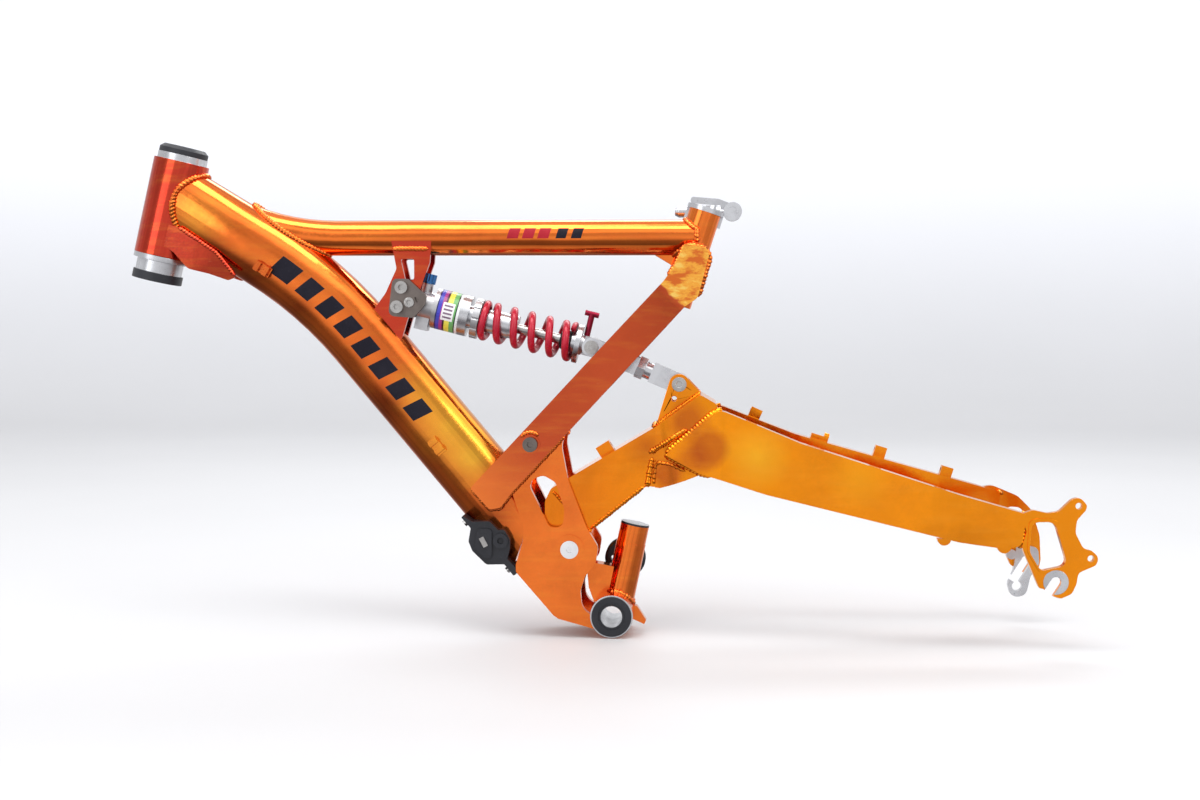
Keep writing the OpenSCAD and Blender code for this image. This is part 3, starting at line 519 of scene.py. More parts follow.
def candy(name, tones, x0=-0.48, x1=0.46, rough=(0.10, 0.22), grain=0.13, patch=False, wave=1.0, painted_reflections=()):
    """dyed anodised aluminium: colour drifts along the part, hand polish marks, fine pits and rubbed scratches, plus
    painted highlight and painted dark reflection patches at given side-view positions
    """
    m, nt, bsdf, vec = tree(name)
    along = remap(nt, axis_value(nt, vec, (1, 0, 0)), 0, 1, x0, x1)
    base = ramp(nt, along, tones, "LINEAR")
    # painted reflections: light and dark patches mixed into the base colour at fixed side-view positions
    for x, z, r, soft, c, k in painted_reflections:
        base = mix(nt, remap(nt, blob(nt, vec, x, z, r, soft), 0.0, k), base, c)
    cloud = noise(nt, vec, 9.0, 4.0, 0.6)
    deep = mix(nt, remap(nt, cloud, 0.0, grain * 3.2, 0.40, 0.72), base, (0.36, 0.040, 0.012))
    polish = noise(nt, vec, 16.0, 5.0, 0.6, stretch=(1.0, 6.0, 9.0), rot=(0, rad(40), 0))
    warm = mix(nt, remap(nt, polish, 0.0, 0.18, 0.50, 0.8), deep, (1.0, 0.42, 0.05))
    scr = noise(nt, vec, 60.0, 6.0, 0.7, stretch=(1.0, 22.0, 30.0), rot=(0, rad(48), 0))
    line = remap(nt, scr, 0, 0.8, 0.69, 0.73)
    col = mix(nt, line, warm, (1.0, 0.60, 0.30))
    rough_lo, rough_hi = rough
    if patch:
        # the strut: brighter at its lower end, hand-polished where the weld at its top was dressed
        st = axis_value(nt, vec, (cos(rad(47.1)), 0, sin(rad(47.1))), 0.125 * cos(rad(47.1)) - 0.1188 * sin(rad(47.1)))
        col = mix(nt, remap(nt, st, 0.75, 0.0, 0.0, 0.07), col, (0.92, 0.23, 0.045))
        edge = noise(nt, vec, 90.0, 2.0, 0.5)
        sh = node(nt, "ShaderNodeMath")
        sh.operation = "MULTIPLY_ADD"
        sh.inputs[1].default_value = 0.012
        nt.links.new(edge, sh.inputs[0])
        nt.links.new(st, sh.inputs[2])
        mask = remap(nt, sh.outputs[0], 0, 1, 0.2720, 0.2740)
        side = node(nt, "ShaderNodeMath")
        side.operation = "ABSOLUTE"
        nt.links.new(axis_value(nt, vec, (0, 1, 0)), side.inputs[0])
        mk = node(nt, "ShaderNodeMath")
        mk.operation = "MULTIPLY"
        nt.links.new(mask, mk.inputs[0])
        nt.links.new(remap(nt, side.outputs[0], 0, 1, 0.0215, 0.0225), mk.inputs[1])
        swirl = noise(nt, vec, 55.0, 4.0, 0.6, stretch=(1.0, 1.0, 2.2), rot=(0, rad(20), 0))
        tone = ramp(nt, swirl, [(0.35, (0.72, 0.16, 0.03)), (0.5, (0.95, 0.42, 0.06)), (0.62, (1.0, 0.62, 0.14))])
        col = mix(nt, mk.outputs[0], col, tone)
    nt.links.new(col, bsdf.inputs["Base Color"])
    bsdf.inputs["Metallic"].default_value = 1.0
    fine = noise(nt, vec, 420.0, 3.0, 0.6)
    rmix = mix(nt, 0.5, cloud, fine)
    nt.links.new(remap(nt, rmix, rough_lo, rough_hi, 0.35, 0.65), bsdf.inputs["Roughness"])
    bsdf.inputs["Coat Weight"].default_value = 0.06
    bsdf.inputs["Coat Roughness"].default_value = 0.05
    n1 = bump(nt, bsdf, noise(nt, vec, 11.0, 1.0, 0.4, stretch=(1.0, 0.5, 1.0)), 0.60 * wave, 0.006)
    n2 = bump(nt, bsdf, noise(nt, vec, 34.0, 2.0, 0.5), 0.20 * wave, 0.0015, n1)
    bump(nt, bsdf, fine, 0.05, 0.0004, n2)
    return m


def bare(name, col, rough=(0.2, 0.34), metallic=1.0, scale=1.0, tint=(0.45, 0.44, 0.46), bumpy=0.08):
    m, nt, bsdf, vec = tree(name)
    cloud = noise(nt, vec, 38.0 * scale, 4.0, 0.6)
    c = mix(nt, remap(nt, cloud, 0.0, 0.55, 0.4, 0.75), col, tint)
    pits = noise(nt, vec, 900.0, 2.0, 0.5)
    c = mix(nt, remap(nt, pits, 0, 0.7, 0.66, 0.76), c, tuple(v * 0.35 for v in col))
    nt.links.new(c, bsdf.inputs["Base Color"])
    bsdf.inputs["Metallic"].default_value = metallic
    nt.links.new(remap(nt, cloud, rough[0], rough[1], 0.3, 0.7), bsdf.inputs["Roughness"])
    bump(nt, bsdf, mix(nt, 0.4, pits, cloud), bumpy, 0.0005)
    return m


def plastic(name, col, rough=(0.35, 0.55), light=1.8):
    m, nt, bsdf, vec = tree(name)
    cloud = noise(nt, vec, 30.0, 4.0, 0.6)
    dust = noise(nt, vec, 600.0, 3.0, 0.6)
    c = mix(nt, remap(nt, cloud, 0, 0.5, 0.4, 0.8), col, tuple(min(1, v * light + 0.01) for v in col))
    c = mix(nt, remap(nt, dust, 0, 0.5, 0.62, 0.8), c, tuple(min(1, v * 2.4 + 0.03) for v in col))
    nt.links.new(c, bsdf.inputs["Base Color"])
    nt.links.new(remap(nt, cloud, rough[0], rough[1], 0.3, 0.7), bsdf.inputs["Roughness"])
    bump(nt, bsdf, dust, 0.12, 0.0004)
    return m


ORANGE = [(0.0, (0.72, 0.10, 0.026)), (0.10, (0.88, 0.19, 0.030)), (0.45, (0.90, 0.20, 0.032)), (1.0, (0.90, 0.21, 0.034))]
STRUT = [(0.0, (0.56, 0.085, 0.030)), (1.0, (0.60, 0.095, 0.030))]
RED = [(0.0, (0.56, 0.050, 0.028)), (1.0, (0.66, 0.070, 0.030))]
GOLD = [(0.30, (0.86, 0.23, 0.012)), (0.48, (0.84, 0.215, 0.010)), (0.62, (0.93, 0.30, 0.008)), (1.0, (0.93, 0.29, 0.009))]
# colours of the painted highlights and painted dark reflections
PAINTED_HIGHLIGHT_YELLOW, PAINTED_DARK_REFLECTION_MAROON, PAINTED_DARK_REFLECTION_YOKE = (1.0, 0.56, 0.05), (0.22, 0.022, 0.014), (0.42, 0.062, 0.014)
# painted highlights and painted dark reflections on the orange tubes, per patch: x, z, radius, softness, colour,
# strength
TUBE_PAINTED_REFLECTIONS = [(-0.160, 0.185, 0.024, 0.020, PAINTED_HIGHLIGHT_YELLOW, 0.75), (-0.137, 0.155, 0.020, 0.016, PAINTED_HIGHLIGHT_YELLOW, 0.8), (-0.190, 0.218, 0.018, 0.018, PAINTED_HIGHLIGHT_YELLOW, 0.5),
                (-0.412, 0.386, 0.020, 0.020, (1.0, 0.42, 0.05), 0.7), (-0.395, 0.352, 0.014, 0.016, PAINTED_DARK_REFLECTION_MAROON, 0.75), (-0.360, 0.333, 0.013, 0.014, PAINTED_DARK_REFLECTION_MAROON, 0.7),
                (-0.310, 0.300, 0.012, 0.014, PAINTED_DARK_REFLECTION_MAROON, 0.5), (-0.225, 0.205, 0.014, 0.014, PAINTED_DARK_REFLECTION_MAROON, 0.55), (-0.115, 0.100, 0.014, 0.012, PAINTED_DARK_REFLECTION_MAROON, 0.5)]
# painted dark reflections beside the welds and painted highlights on the gold swingarm yoke, same columns
YOKE_PAINTED_REFLECTIONS = [(0.094, 0.166, 0.017, 0.005, PAINTED_DARK_REFLECTION_YOKE, 0.60), (0.080, 0.158, 0.014, 0.006, PAINTED_DARK_REFLECTION_YOKE, 0.5), (0.054, 0.140, 0.013, 0.005, PAINTED_DARK_REFLECTION_YOKE, 0.65), (0.074, 0.192, 0.016, 0.007, PAINTED_DARK_REFLECTION_YOKE, 0.6),
                (0.034, 0.166, 0.012, 0.012, (0.40, 0.06, 0.015), 0.5), (0.140, 0.160, 0.018, 0.016, (1.0, 0.52, 0.03), 0.6), (0.235, 0.140, 0.018, 0.016, (1.0, 0.45, 0.02), 0.4)]
MAT = {
    "orange_anodised": candy("orange_anodised", ORANGE, painted_reflections=TUBE_PAINTED_REFLECTIONS),
    "orange_strut": candy("orange_strut", STRUT, patch=True),
    "red_anodised": candy("red_anodised", RED),
    "red_dark": candy("red_dark", [(0.0, (0.30, 0.030, 0.016)), (1.0, (0.34, 0.036, 0.018))]),
    "gold_anodised": candy("gold_anodised", GOLD, grain=0.08, painted_reflections=YOKE_PAINTED_REFLECTIONS),
    "bare_aluminium": bare("bare_aluminium", (0.66, 0.67, 0.70), tint=(0.36, 0.36, 0.38)),
    "chrome": bare("chrome", (0.86, 0.87, 0.89), rough=(0.04, 0.10), tint=(0.60, 0.60, 0.62), bumpy=0.03),
    "dark_steel": bare("dark_steel", (0.20, 0.17, 0.155), rough=(0.30, 0.46), scale=2.0, tint=(0.11, 0.095, 0.09), bumpy=0.1),
    "steel": bare("steel", (0.50, 0.49, 0.48), rough=(0.18, 0.36), scale=2.5, tint=(0.27, 0.25, 0.24)),
    "grey_aluminium": bare("grey_aluminium", (0.55, 0.55, 0.57), rough=(0.32, 0.5), scale=2.0, tint=(0.36, 0.35, 0.36), bumpy=0.15),
    "black_plastic": plastic("black_plastic", (0.010, 0.011, 0.016)),
    "black_rubber": plastic("black_rubber", (0.010, 0.010, 0.010), rough=(0.6, 0.8)),
    "red_spring": bare("red_spring", (0.46, 0.008, 0.030), rough=(0.22, 0.36), metallic=0.1, scale=2.0, tint=(0.28, 0.005, 0.02), bumpy=0.05),
    "blue_knob": bare("blue_knob", (0.05, 0.17, 0.42), rough=(0.25, 0.4), tint=(0.03, 0.09, 0.24)),
    "maroon_knob": bare("maroon_knob", (0.30, 0.02, 0.045), rough=(0.28, 0.42), tint=(0.18, 0.012, 0.03)),
}
FINISH = {"seat_strut_left": "orange_strut", "seat_strut_right": "orange_strut", "shock_bracket_left": "red_anodised",
          "shock_bracket_right": "red_anodised", "pivot_caps": "chrome", "clamp_plates": "dark_steel", "head_gusset": "red_dark"}


def split_finish(o, other, test):
    """gives the faces that pass the test a second finish"""
    o.data.materials.append(MAT[other])
    for p in o.data.polygons:
        if test(o.matrix_world @ p.center, p.normal):
            p.material_index = 1


bpy.context.view_layer.update()
for n, o in nodes.items():
    me = o.data
    me.materials.clear()
    me.materials.append(MAT[FINISH.get(n, slots[n])])
    for p in me.polygons:
        p.material_index = 0
# machined ends of the bottom bracket shell, dark ends of its sleeve, dark rim of the stub's plug, painted washers under the strut bolts
split_finish(nodes["bb_shell"], "bare_aluminium", lambda c, v: abs(v.y) > 0.9)
split_finish(nodes["bb_sleeve"], "black_plastic", lambda c, v: abs(v.y) > 0.9)
split_finish(nodes["stub_plug"], "black_plastic", lambda c, v: abs(v.dot(Vector((sin(rad(11.8)), 0, cos(rad(11.8)))))) < 0.5)
split_finish(nodes["frame_bolts"], "orange_strut", lambda c, v: c.z > 0.15 and math.hypot(c.x + 0.0782, c.z - 0.1695) > 0.0073)
nodes["frame_bolts"].data.materials.append(MAT["dark_steel"])
for p in nodes["frame_bolts"].data.polygons:
    if p.material_index == 0 and (nodes["frame_bolts"].matrix_world @ p.center).z > 0.15:
        p.material_index = 2


# ---------------------------------------------------------------- soft edges on the machined parts
def soften(name, width, angle=32, segments=2):
    o = nodes[name]
    w = o.modifiers.new("weld", "WELD")
    w.merge_threshold = 2e-6
    if width > 0:
        b = o.modifiers.new("bevel", "BEVEL")
        b.width = width * MM
        b.segments = segments
        b.limit_method = "ANGLE"
        b.angle_limit = rad(angle)
        b.use_clamp_overlap = True
        b.harden_normals = False
    for p in o.data.polygons:
        p.use_smooth = True
    s = o.modifiers.new("split", "EDGE_SPLIT")
    s.split_angle = rad(35)
    s.use_edge_sharp = False
    k = o.modifiers.new("face_normals", "WEIGHTED_NORMAL")
    k.mode = "FACE_AREA"
    k.weight = 90
    k.keep_sharp = False


SOFT_WIDTH = {"pivot_plate_left": 1.2, "pivot_plate_right": 1.2, "swingarm_neck": 2.5, "swingarm_yoke": 2.5,
              "seat_strut_left": 2.5, "seat_strut_right": 2.5, "arm_left": 3.0, "arm_right": 3.0,
              "dropout_left": 0.7, "dropout_right": 0.7, "derailleur_hanger": 0.5,
              "shock_bracket_left": 0.5, "shock_bracket_right": 0.5, "clamp_plates": 0.6, "shock_head": 0.8,
              "link_clevis": 0.8, "rod_end": 0.8, "shock_eye": 0.6, "guide_block": 0.7, "frame_guides": 0.4,
              "arm_guides": 0.5, "head_tube": 0.5, "seat_collar": 0.7, "qr_lever": 0.6, "ear_plates": 0.6,
              "head_gusset": 0.6, "plate_bridge": 0.5}
for n in nodes:
    soften(n, SOFT_WIDTH.get(n, 0.3))

# ---------------------------------------------------------------- weld beads
welds = {"front_frame": [], "swingarm": []}
weld_red = []

# head tube to down tube, top tube to down tube, top tube to seat tube
ring_ht = march(dt_surf, ht_sdf, -106, 20, 110)
welds["front_frame"].append(bead(ring_ht[:-1], 3.4, closed=True, out=0.7, pitch=3.6))
ring_tt = march(tt_surf, dt_sdf, 160, -12, 90)
welds["front_frame"].append(bead(ring_tt[:-1], 3.0, closed=True, out=0.6, pitch=3.4))


def tt_straight(s, th):
    return Vector((s, TT_R * cos(th), TT_Z + TT_R * sin(th)))


ring_st = march(tt_straight, st_sdf, 20, 82, 70)
welds["front_frame"].append(bead(ring_st[:-1], 3.0, closed=True, out=0.6, pitch=3.4))


# derailleur stub to the bottom bracket shell
def stub_surf(s, th):
    a = rad(11.8)
    d, u = Vector((sin(a), 0, cos(a))), Vector((cos(a), 0, -sin(a)))
    return Vector((3.6, 0, 0)) + d * s + u * (14.3 * cos(th)) + Vector((0, 1, 0)) * (14.3 * sin(th))


ring_stub = march(stub_surf, lambda p: math.hypot(p.x, p.z) - 21.0, 10, 40, 60)
welds["front_frame"].append(bead(ring_stub[:-1], 2.6, closed=True, out=0.5))


def line_on(points, n=12):
    out = []
    for a, b in zip(points, points[1:]):
        a, b = Vector(a), Vector(b)
        for i in range(n):
            out.append(a.lerp(b, i / n))
    out.append(Vector(points[-1]))
    return out


for side in (-1, 1):
    sn = lambda p, side=side: Vector((0.25, side, 0.1))
    # struts on the seat tube: back edge, top edge and front edge
    welds["front_frame"].append(bead(line_on([(92.6, 21.5 * side, 357), (94.6, 20.5 * side, 349), (89.6, 22.5 * side, 333), (83.6, 22.5 * side, 312)]), 2.9, pitch=3.6, out=0.4, normal=sn))
    welds["front_frame"].append(bead(line_on([(91, 22 * side, 359.6), (80.5, 24.5 * side, 362.0), (70.5, 23.5 * side, 362.0)]), 2.7, pitch=3.4, out=0.4, normal=lambda p, side=side: Vector((0, side, 0.8))))
    welds["front_frame"].append(bead(line_on([(69.6, 24 * side, 361.5), (61.5, 26.5 * side, 344), (54, 28 * side, 332.5)]), 2.4, out=0.3, normal=lambda p, side=side: Vector((-0.6, side, 0.3))))
    # struts on the plates, and plates along the down tube
    low = [(-136.5, 124.8), (-131, 118.6), (-118.2, 104.8), (-109, 106.4), (-97.6, 121.6), (-45.6, 177.2)]
    welds["front_frame"].append(bead(line_on([(a, 36.4 * side, b) for a, b in low], 14), 2.6, out=0.4, normal=lambda p, side=side: Vector((0.4, side, -0.5))))
    # dressed weld over the strut bolt
    arc = [Vector((-78.2 + 11.4 * cos(rad(g)), 46.1 * side, 169.5 + 11.4 * sin(rad(g)))) for g in range(50, 146, 5)]
    welds["front_frame"].append(bead(arc, 2.1, pitch=2.6, out=0.3, normal=lambda p, side=side: Vector((0, side, 0))))
    # bracket plates: at the top tube and down tube
    for pts, r in (([(-216, 17.3, 359.5), (-180.5, 17.3, 359.5)], 2.6), ([(-236.5, 17.4, 291.5), (-223.5, 17.4, 276.0), (-214.5, 17.4, 265.2)], 2.3)):
        welds["front_frame"].append(bead(line_on([(a, side * (y + 0.3), b) for a, y, b in pts], 20), r, out=0.3, normal=lambda p, side=side: Vector((0, side, 0.2))))


def gusset_edge(side):
    out = []
    for x, z in ((-427, 380.2), (-410, 369.2), (-390, 355.6), (-378, 341), (-371.5, 331.8)):
        out.append(Vector((x, side * 26.2, z)))
    return out


for side in (-1, 1):
    weld_red.append(bead(line_on([tuple(p) for p in gusset_edge(side)], 12), 2.3, out=0.3, normal=lambda p, side=side: Vector((0.5, side, 0.7))))

# ---------------------------------------------------------------- swingarm beads
def yoke_y(x):
    return 26.9 + max(0.0, min(x - 42.0, 18.0)) * 0.5


def on_yoke(points, side, n=16):
    return [Vector((p.x, side * yoke_y(p.x), p.z)) for p in line_on([(a, 0, b) for a, b in points], n)]


for side in (-1, 1):
    out_n = lambda p, side=side: Vector((-0.1, side, 0.05))
    # arms on the yoke: slanted front edge and lower front edge
    welds["swingarm"].append(bead(line_on([(106, 36.6 * side, 203.5), (98, 36.8 * side, 199.6), (75, 36.8 * side, 179.8), (52.5, 36.8 * side, 160.4)]), 3.1, pitch=3.4, out=0.6, normal=lambda p, side=side: Vector((-0.5, side * 0.9, 0.6))))
    welds["swingarm"].append(bead(line_on([(52.5, 36.8 * side, 158.6), (68, 36.8 * side, 150.2), (84.5, 36.6 * side, 142.0), (97, 36.2 * side, 138.4)]), 3.0, pitch=3.4, out=0.5, normal=lambda p, side=side: Vector((-0.3, side * 0.9, -0.6))))
    # neck box to the cross box: lower edge, then the long diagonal
    welds["swingarm"].append(bead(on_yoke([(34.6, 127.6), (36.6, 141), (39.4, 155.6)], side), 2.7, out=0.5, normal=out_n))
    welds["swingarm"].append(bead(on_yoke([(37.0, 160.4), (73.7, 184.2)], side), 2.7, out=0.5, normal=out_n))
    # rim of the pocket under the arm
    rim = [(40.6, 130.2), (42.6, 147.6), (46.0, 151.0), (58.0, 149.4), (72.0, 143.0)]
    welds["swingarm"].append(bead(on_yoke(rim, side), 1.6, out=0.2, pitch=5.0, normal=out_n))
    # lower edge of the neck
    welds["swingarm"].append(bead(line_on([(-20.4, 26.4 * side, 85.6), (31.6, 26.4 * side, 127.2)], 40), 2.2, out=0.2, normal=lambda p, side=side: Vector((0.4, side, -0.6))))
    # ears on the top wall
    for y in (15.9, 9.9):
        welds["swingarm"].append(bead(line_on([(43.4, y * side, 187.2), (86.4, y * side, 219.0)]), 2.3, out=0.4, normal=lambda p, side=side, y=y: Vector((-0.6, side * (1 if y > 12 else -1), 0.8))))
    # neck front corner seam, and arms to dropouts
    welds["swingarm"].append(bead(line_on([(-58, 26.4 * side, 121.5), (-20.5, 26.6 * side, 81)], 20), 1.6, normal=out_n))
    lift = 0 if side < 0 else 6
    e = [(391.3, 58 * side, 107.5 + lift), (391.6, 71.2 * side, 107.0 + lift), (391.4, 71.6 * side, 104 + lift), (388.4, 71.6 * side, 81 + lift), (387.6, 71.2 * side, 78.5 + lift), (387.8, 58 * side, 78 + lift)]
    welds["swingarm"].append(bead(line_on(e, 8), 2.9, pitch=3.4, out=0.4, normal=lambda p, side=side: Vector((0.35, side * 0.8, (p.z - 92) * 0.02))))
# neck to cross box over the top wall
welds["swingarm"].append(bead(line_on([(41.0, -25.5, 185.8), (41.0, 25.5, 185.8)], 30), 2.4, out=0.4, normal=lambda p: Vector((-0.4, 0, 1))))


def weld_piece(name, parts, body, mat):
    o = new_object(name, *join_meshes(parts))
    o.data.materials.append(mat)
    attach(o, body)
    return o


weld_piece("front_weld_beads", welds["front_frame"], "front_frame", MAT["orange_anodised"])
weld_piece("head_weld_beads", weld_red, "front_frame", MAT["red_anodised"])
weld_piece("swingarm_weld_beads", welds["swingarm"], "swingarm", MAT["gold_anodised"])


# ---------------------------------------------------------------- coil spring with ground ends
def coil(n_turn=44, m_ring=16):
    coil_r, wire, turns, start = 16.6, 3.7, 6.25, 40.0
    s0, s1 = 70.2 + wire, 167.4 - wire
    k = int(turns * n_turn)
    rings = []
    for i in range(k + 1):
        t = i / k
        lift = 0 if t < 0.08 else 1 if t > 0.92 else (t - 0.08) / 0.84
        lift = lift * lift * (3 - 2 * lift) * 0.12 + lift * 0.88
        a = rad(360 * turns * t + start)
        s = s0 + (s1 - s0) * lift
        end = min(i, k - i) / n_turn
        taper = min(1.0, 0.45 + 0.55 * min(end / 0.45, 1.0))
        ring = []
        for j in range(m_ring):
            b = 2 * pi * j / m_ring
            q = coil_r + wire * cos(b)
            ds = wire * sin(b)
            if t < 0.5:
                ds = max(ds, -wire * taper)
            else:
                ds = min(ds, wire * taper)
            ring.append(shock_pt(s + ds, q * cos(a), q * sin(a)))
        rings.append(ring)
    return loft(rings)


def shock_pt(s, y, z):
    ca, sa = cos(SH_A), sin(SH_A)
    return Vector((SH_F[0] + s * ca + z * sa, y, SH_F[1] - s * sa + z * ca))


spring = new_object("coil_wire", *coil())
spring.data.materials.append(MAT["red_spring"])
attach(spring, "shock_shaft")
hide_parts("coil_spring")
AX = Vector((cos(SH_A), 0, -sin(SH_A)))
tuple(shock_pt(167.4, 0, 0) * MM)
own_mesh(spring)

# ---------------------------------------------------------------- generic marks (plain bars, no letters)
dark_mark = plastic("dark_mark", (0.008, 0.007, 0.014), rough=(0.35, 0.5))
red_mark = plastic("red_mark", (0.30, 0.01, 0.02), rough=(0.35, 0.5))
for mk in (dark_mark, red_mark):
    mk.node_tree.nodes["Principled BSDF"].inputs["Specular IOR Level"].default_value = 0.15


def dt_bar(s0, s1, n0, n1, skew=5.0, t=0.14):
    """thin parallelogram lying on the near side of the down tube, following its bend and its curve"""
    k, m = 10, 8
    rings = []
    for i in range(k + 1):
        s = s0 + (s1 - s0) * i / k
        out, back = [], []
        for j in range(m + 1):
            n = n0 + (n1 - n0) * j / m
            q = s + skew * j / m
            x, z, a = dt_point(q)
            y = dt_side(q, n)
            out.append(Vector((x + n * sin(a), y - t, z + n * cos(a))))
            back.append(Vector((x + n * sin(a), y + 0.25, z + n * cos(a))))
        rings.append(out + back[::-1])
    return loft(rings)


bars = []
x = 18.0
for k, wdt in enumerate((24, 17, 17, 17, 17, 17, 17, 17)):
    bars.append(dt_bar(x, x + wdt, -10.5, 10.5))
    x += wdt + 9.5
o = new_object("tube_side_bars", *join_meshes(bars), smooth=False)
o.data.materials.append(dark_mark)
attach(o, "front_frame")


def tt_patch(x0, x1, t0, t1, r=17.56, th=0.08, skew=3.0):
    """thin curved patch on the near side of the top tube between two angles below/above the side line"""
    rings = []
    k = 8
    for i in range(k + 1):
        ring = []
        g = rad(t0 + (t1 - t0) * i / k)
        sk = skew * i / k
        for (xx, rr) in ((x0 + sk, r), (x1 + sk, r), (x1 + sk, r - th), (x0 + sk, r - th)):
            ring.append(Vector((xx, -rr * cos(g), TT_Z + rr * sin(g))))
        rings.append(ring)
    return loft(rings)


o = new_object("top_tube_dashes_red", *join_meshes([tt_patch(-104 + i * 15, -93 + i * 15, -4, 30) for i in range(3)]), smooth=False)
o.data.materials.append(red_mark)
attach(o, "front_frame")
o = new_object("top_tube_dashes_dark", *join_meshes([tt_patch(-56 + i * 15, -46 + i * 15, -4, 30) for i in range(2)]), smooth=False)
o.data.materials.append(dark_mark)
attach(o, "front_frame")

# striped band round the shock reservoir, with a blank pale panel
BAND = [(27.4, 28.6, (0.012, 0.015, 0.10)), (28.6, 32.0, (0.045, 0.045, 0.42)), (32.0, 35.2, (0.34, 0.03, 0.22)), (35.2, 37.2, (0.04, 0.008, 0.02)), (37.2, 42.2, (0.75, 0.66, 0.07)), (42.2, 46.6, (0.13, 0.38, 0.11)), (46.6, 47.8, (0.01, 0.03, 0.02)), (47.8, 50.2, (0.72, 0.73, 0.74))]


def band_ring(s0, s1, r0=19.9, r1=20.12, a0=0.0, a1=360.0, n=72):
    full = a1 - a0 >= 360
    rings = []
    for i in range(n + (0 if full else 1)):
        a = rad(a0 + (a1 - a0) * i / n)
        rings.append([shock_pt(s, r * cos(a), r * sin(a)) for s, r in ((s0, r0), (s1, r0), (s1, r1), (s0, r1))])
    return loft(rings, closed=full)


for k, (a0, a1, col) in enumerate(BAND):
    o = new_object("reservoir_stripe_%d" % k, *band_ring(a0, a1), angle=40)
    o.data.materials.append(bare("stripe_ink_%d" % k, col, rough=(0.25, 0.4), metallic=0.0, scale=3.0, tint=tuple(c * 0.7 + 0.02 for c in col), bumpy=0.03))
    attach(o, "shock_body")
pale_ink = bare("pale_ink", (0.80, 0.79, 0.80), rough=(0.3, 0.45), metallic=0.0, scale=3.0, tint=(0.62, 0.60, 0.62), bumpy=0.03)
grey_ink = bare("grey_ink", (0.16, 0.10, 0.16), rough=(0.3, 0.45), metallic=0.0, scale=3.0, tint=(0.30, 0.20, 0.28), bumpy=0.03)
for y_c in (180.0, 0.0):
    o = new_object("reservoir_panel_%d" % int(y_c), *band_ring(33.0, 45.0, 20.0, 20.2, y_c - 26, y_c + 26, 20), angle=40)
    o.data.materials.append(pale_ink)
    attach(o, "shock_body")
    o = new_object("reservoir_panel_bars_%d" % int(y_c), *join_meshes([band_ring(34.6, 43.4, 20.1, 20.26, y_c + q, y_c + q + 5, 6) for q in (-19, -8, 3, 14)]), angle=40)
    o.data.materials.append(grey_ink)
    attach(o, "shock_body")

# ---------------------------------------------------------------- stage: floor, backdrop, lights
FLOOR = CAD_LO.z - 0.0006


def backdrop():
    prof = [(-6.0, FLOOR), (2.6, FLOOR)]
    for i in range(1, 17):
        a = pi / 2 * i / 16
        prof.append((2.6 + 1.6 * sin(a), FLOOR + 1.6 * (1 - cos(a))))
    prof.append((4.2, 6.5))
    verts, faces = [], []
    for i, (y, z) in enumerate(prof):
        verts += [(-7000, y * 1000, z * 1000), (7000, y * 1000, z * 1000)]
        if i:
            b = 2 * i
            faces.append((b - 2, b - 1, b + 1, b))
    o = new_object("floor_backdrop", verts, faces)
    m, nt, bsdf, vec = tree("floor_paint")
    cloud = noise(nt, vec, 1.6, 3.0, 0.5)
    paint = mix(nt, remap(nt, cloud, 0, 1, 0.3, 0.7), (0.545, 0.548, 0.560), (0.565, 0.568, 0.580))
    up = remap(nt, axis_value(nt, vec, (0, 0, 1)), 0.0, 1.0, FLOOR, 0.9)
    nt.links.new(mix(nt, up, paint, (0.80, 0.815, 0.86)), bsdf.inputs["Base Color"])
    bsdf.inputs["Roughness"].default_value = 0.55
    bsdf.inputs["Emission Color"].default_value = (0.93, 0.95, 1.0, 1)
    nt.links.new(remap(nt, up, 0.02, 0.25), bsdf.inputs["Emission Strength"])
    o.data.materials.append(m)
    o.visible_glossy = False
    return o


backdrop()


def area(name, loc, target, size, power, color=(1, 1, 1), size_y=None):
    d = bpy.data.lights.new(name, "AREA")
    d.shape = "RECTANGLE"
    d.size = size
    d.size_y = size_y or size
    d.energy = power
    d.color = color
    o = bpy.data.objects.new(name, d)
    scene.collection.objects.link(o)
    o.location = loc
    o.rotation_euler = (Vector(target) - Vector(loc)).to_track_quat("-Z", "Y").to_euler()
    return o


area("key_top", (-0.3, -0.6, 2.3), (0.0, 0.0, 0.2), 2.2, 34, (1.0, 0.99, 0.97), 0.9)
area("fill_front", (-1.9, -2.6, 1.3), (0.0, 0.0, 0.2), 1.6, 15, (0.97, 0.98, 1.0), 1.8)
area("fill_right", (2.1, -1.9, 1.4), (0.1, 0.0, 0.2), 0.9, 16, (1.0, 0.98, 0.95), 1.2)
area("back_rim", (0.4, 1.6, 1.9), (0.0, 0.0, 0.25), 1.8, 18, (1, 1, 1), 0.5)

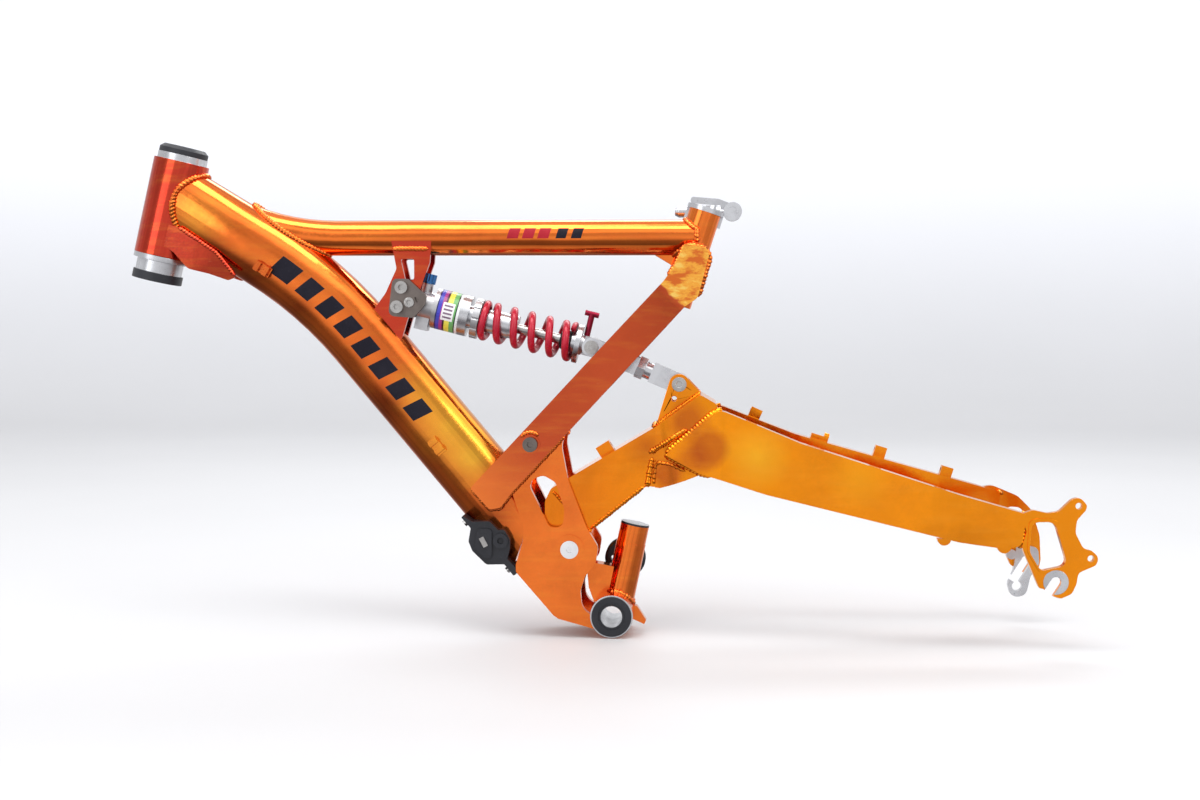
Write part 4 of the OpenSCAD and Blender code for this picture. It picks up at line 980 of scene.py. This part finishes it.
world = bpy.data.worlds.new("studio")
scene.world = world
world.use_nodes = True
wt = world.node_tree
for n in list(wt.nodes):
    wt.nodes.remove(n)
out = wt.nodes.new("ShaderNodeOutputWorld")
bg = wt.nodes.new("ShaderNodeBackground")
tc = wt.nodes.new("ShaderNodeTexCoord")
sep = wt.nodes.new("ShaderNodeSeparateXYZ")
wt.links.new(tc.outputs["Generated"], sep.inputs[0])
rm = wt.nodes.new("ShaderNodeMapRange")
rm.inputs["From Min"].default_value = -1.0
rm.inputs["From Max"].default_value = 1.0
wt.links.new(sep.outputs["Z"], rm.inputs["Value"])
cr = wt.nodes.new("ShaderNodeValToRGB")
el = cr.color_ramp.elements
el[0].position, el[0].color = 0.0, (0.85, 0.85, 0.87, 1)
el[1].position, el[1].color = 1.0, (1.0, 1.0, 1.03, 1)
for p, c in ((0.06, (0.62, 0.61, 0.62)), (0.13, (0.20, 0.19, 0.20)), (0.29, (0.24, 0.22, 0.23)), (0.37, (0.78, 0.77, 0.78)), (0.46, (0.93, 0.92, 0.93)),
             (0.52, (0.90, 0.90, 0.91)), (0.60, (0.72, 0.72, 0.73)), (0.74, (0.80, 0.80, 0.81)), (0.79, (1.9, 1.9, 1.9)), (0.85, (1.9, 1.9, 1.9)), (0.89, (0.85, 0.85, 0.86))):
    e = el.new(p)
    e.color = (*c, 1)
wt.links.new(rm.outputs["Result"], cr.inputs["Fac"])
wn = wt.nodes.new("ShaderNodeTexNoise")
wn.inputs["Scale"].default_value = 3.6
wn.inputs["Detail"].default_value = 2.0
wn.inputs["Roughness"].default_value = 0.5
wt.links.new(tc.outputs["Generated"], wn.inputs["Vector"])
wr = wt.nodes.new("ShaderNodeMapRange")
wr.inputs["From Min"].default_value = 0.42
wr.inputs["From Max"].default_value = 0.55
wr.inputs["To Min"].default_value = 0.76
wr.inputs["To Max"].default_value = 1.10
wt.links.new(wn.outputs["Fac"], wr.inputs["Value"])
wm = wt.nodes.new("ShaderNodeMix")
wm.data_type = "RGBA"
wm.blend_type = "MULTIPLY"
wm.inputs["Factor"].default_value = 1.0
wt.links.new(cr.outputs["Color"], wm.inputs[6])
wt.links.new(wr.outputs["Result"], wm.inputs[7])
wt.links.new(wm.outputs[2], bg.inputs["Color"])
bg.inputs["Strength"].default_value = 1.0
wt.links.new(bg.outputs["Background"], out.inputs["Surface"])

bpy.context.view_layer.update()
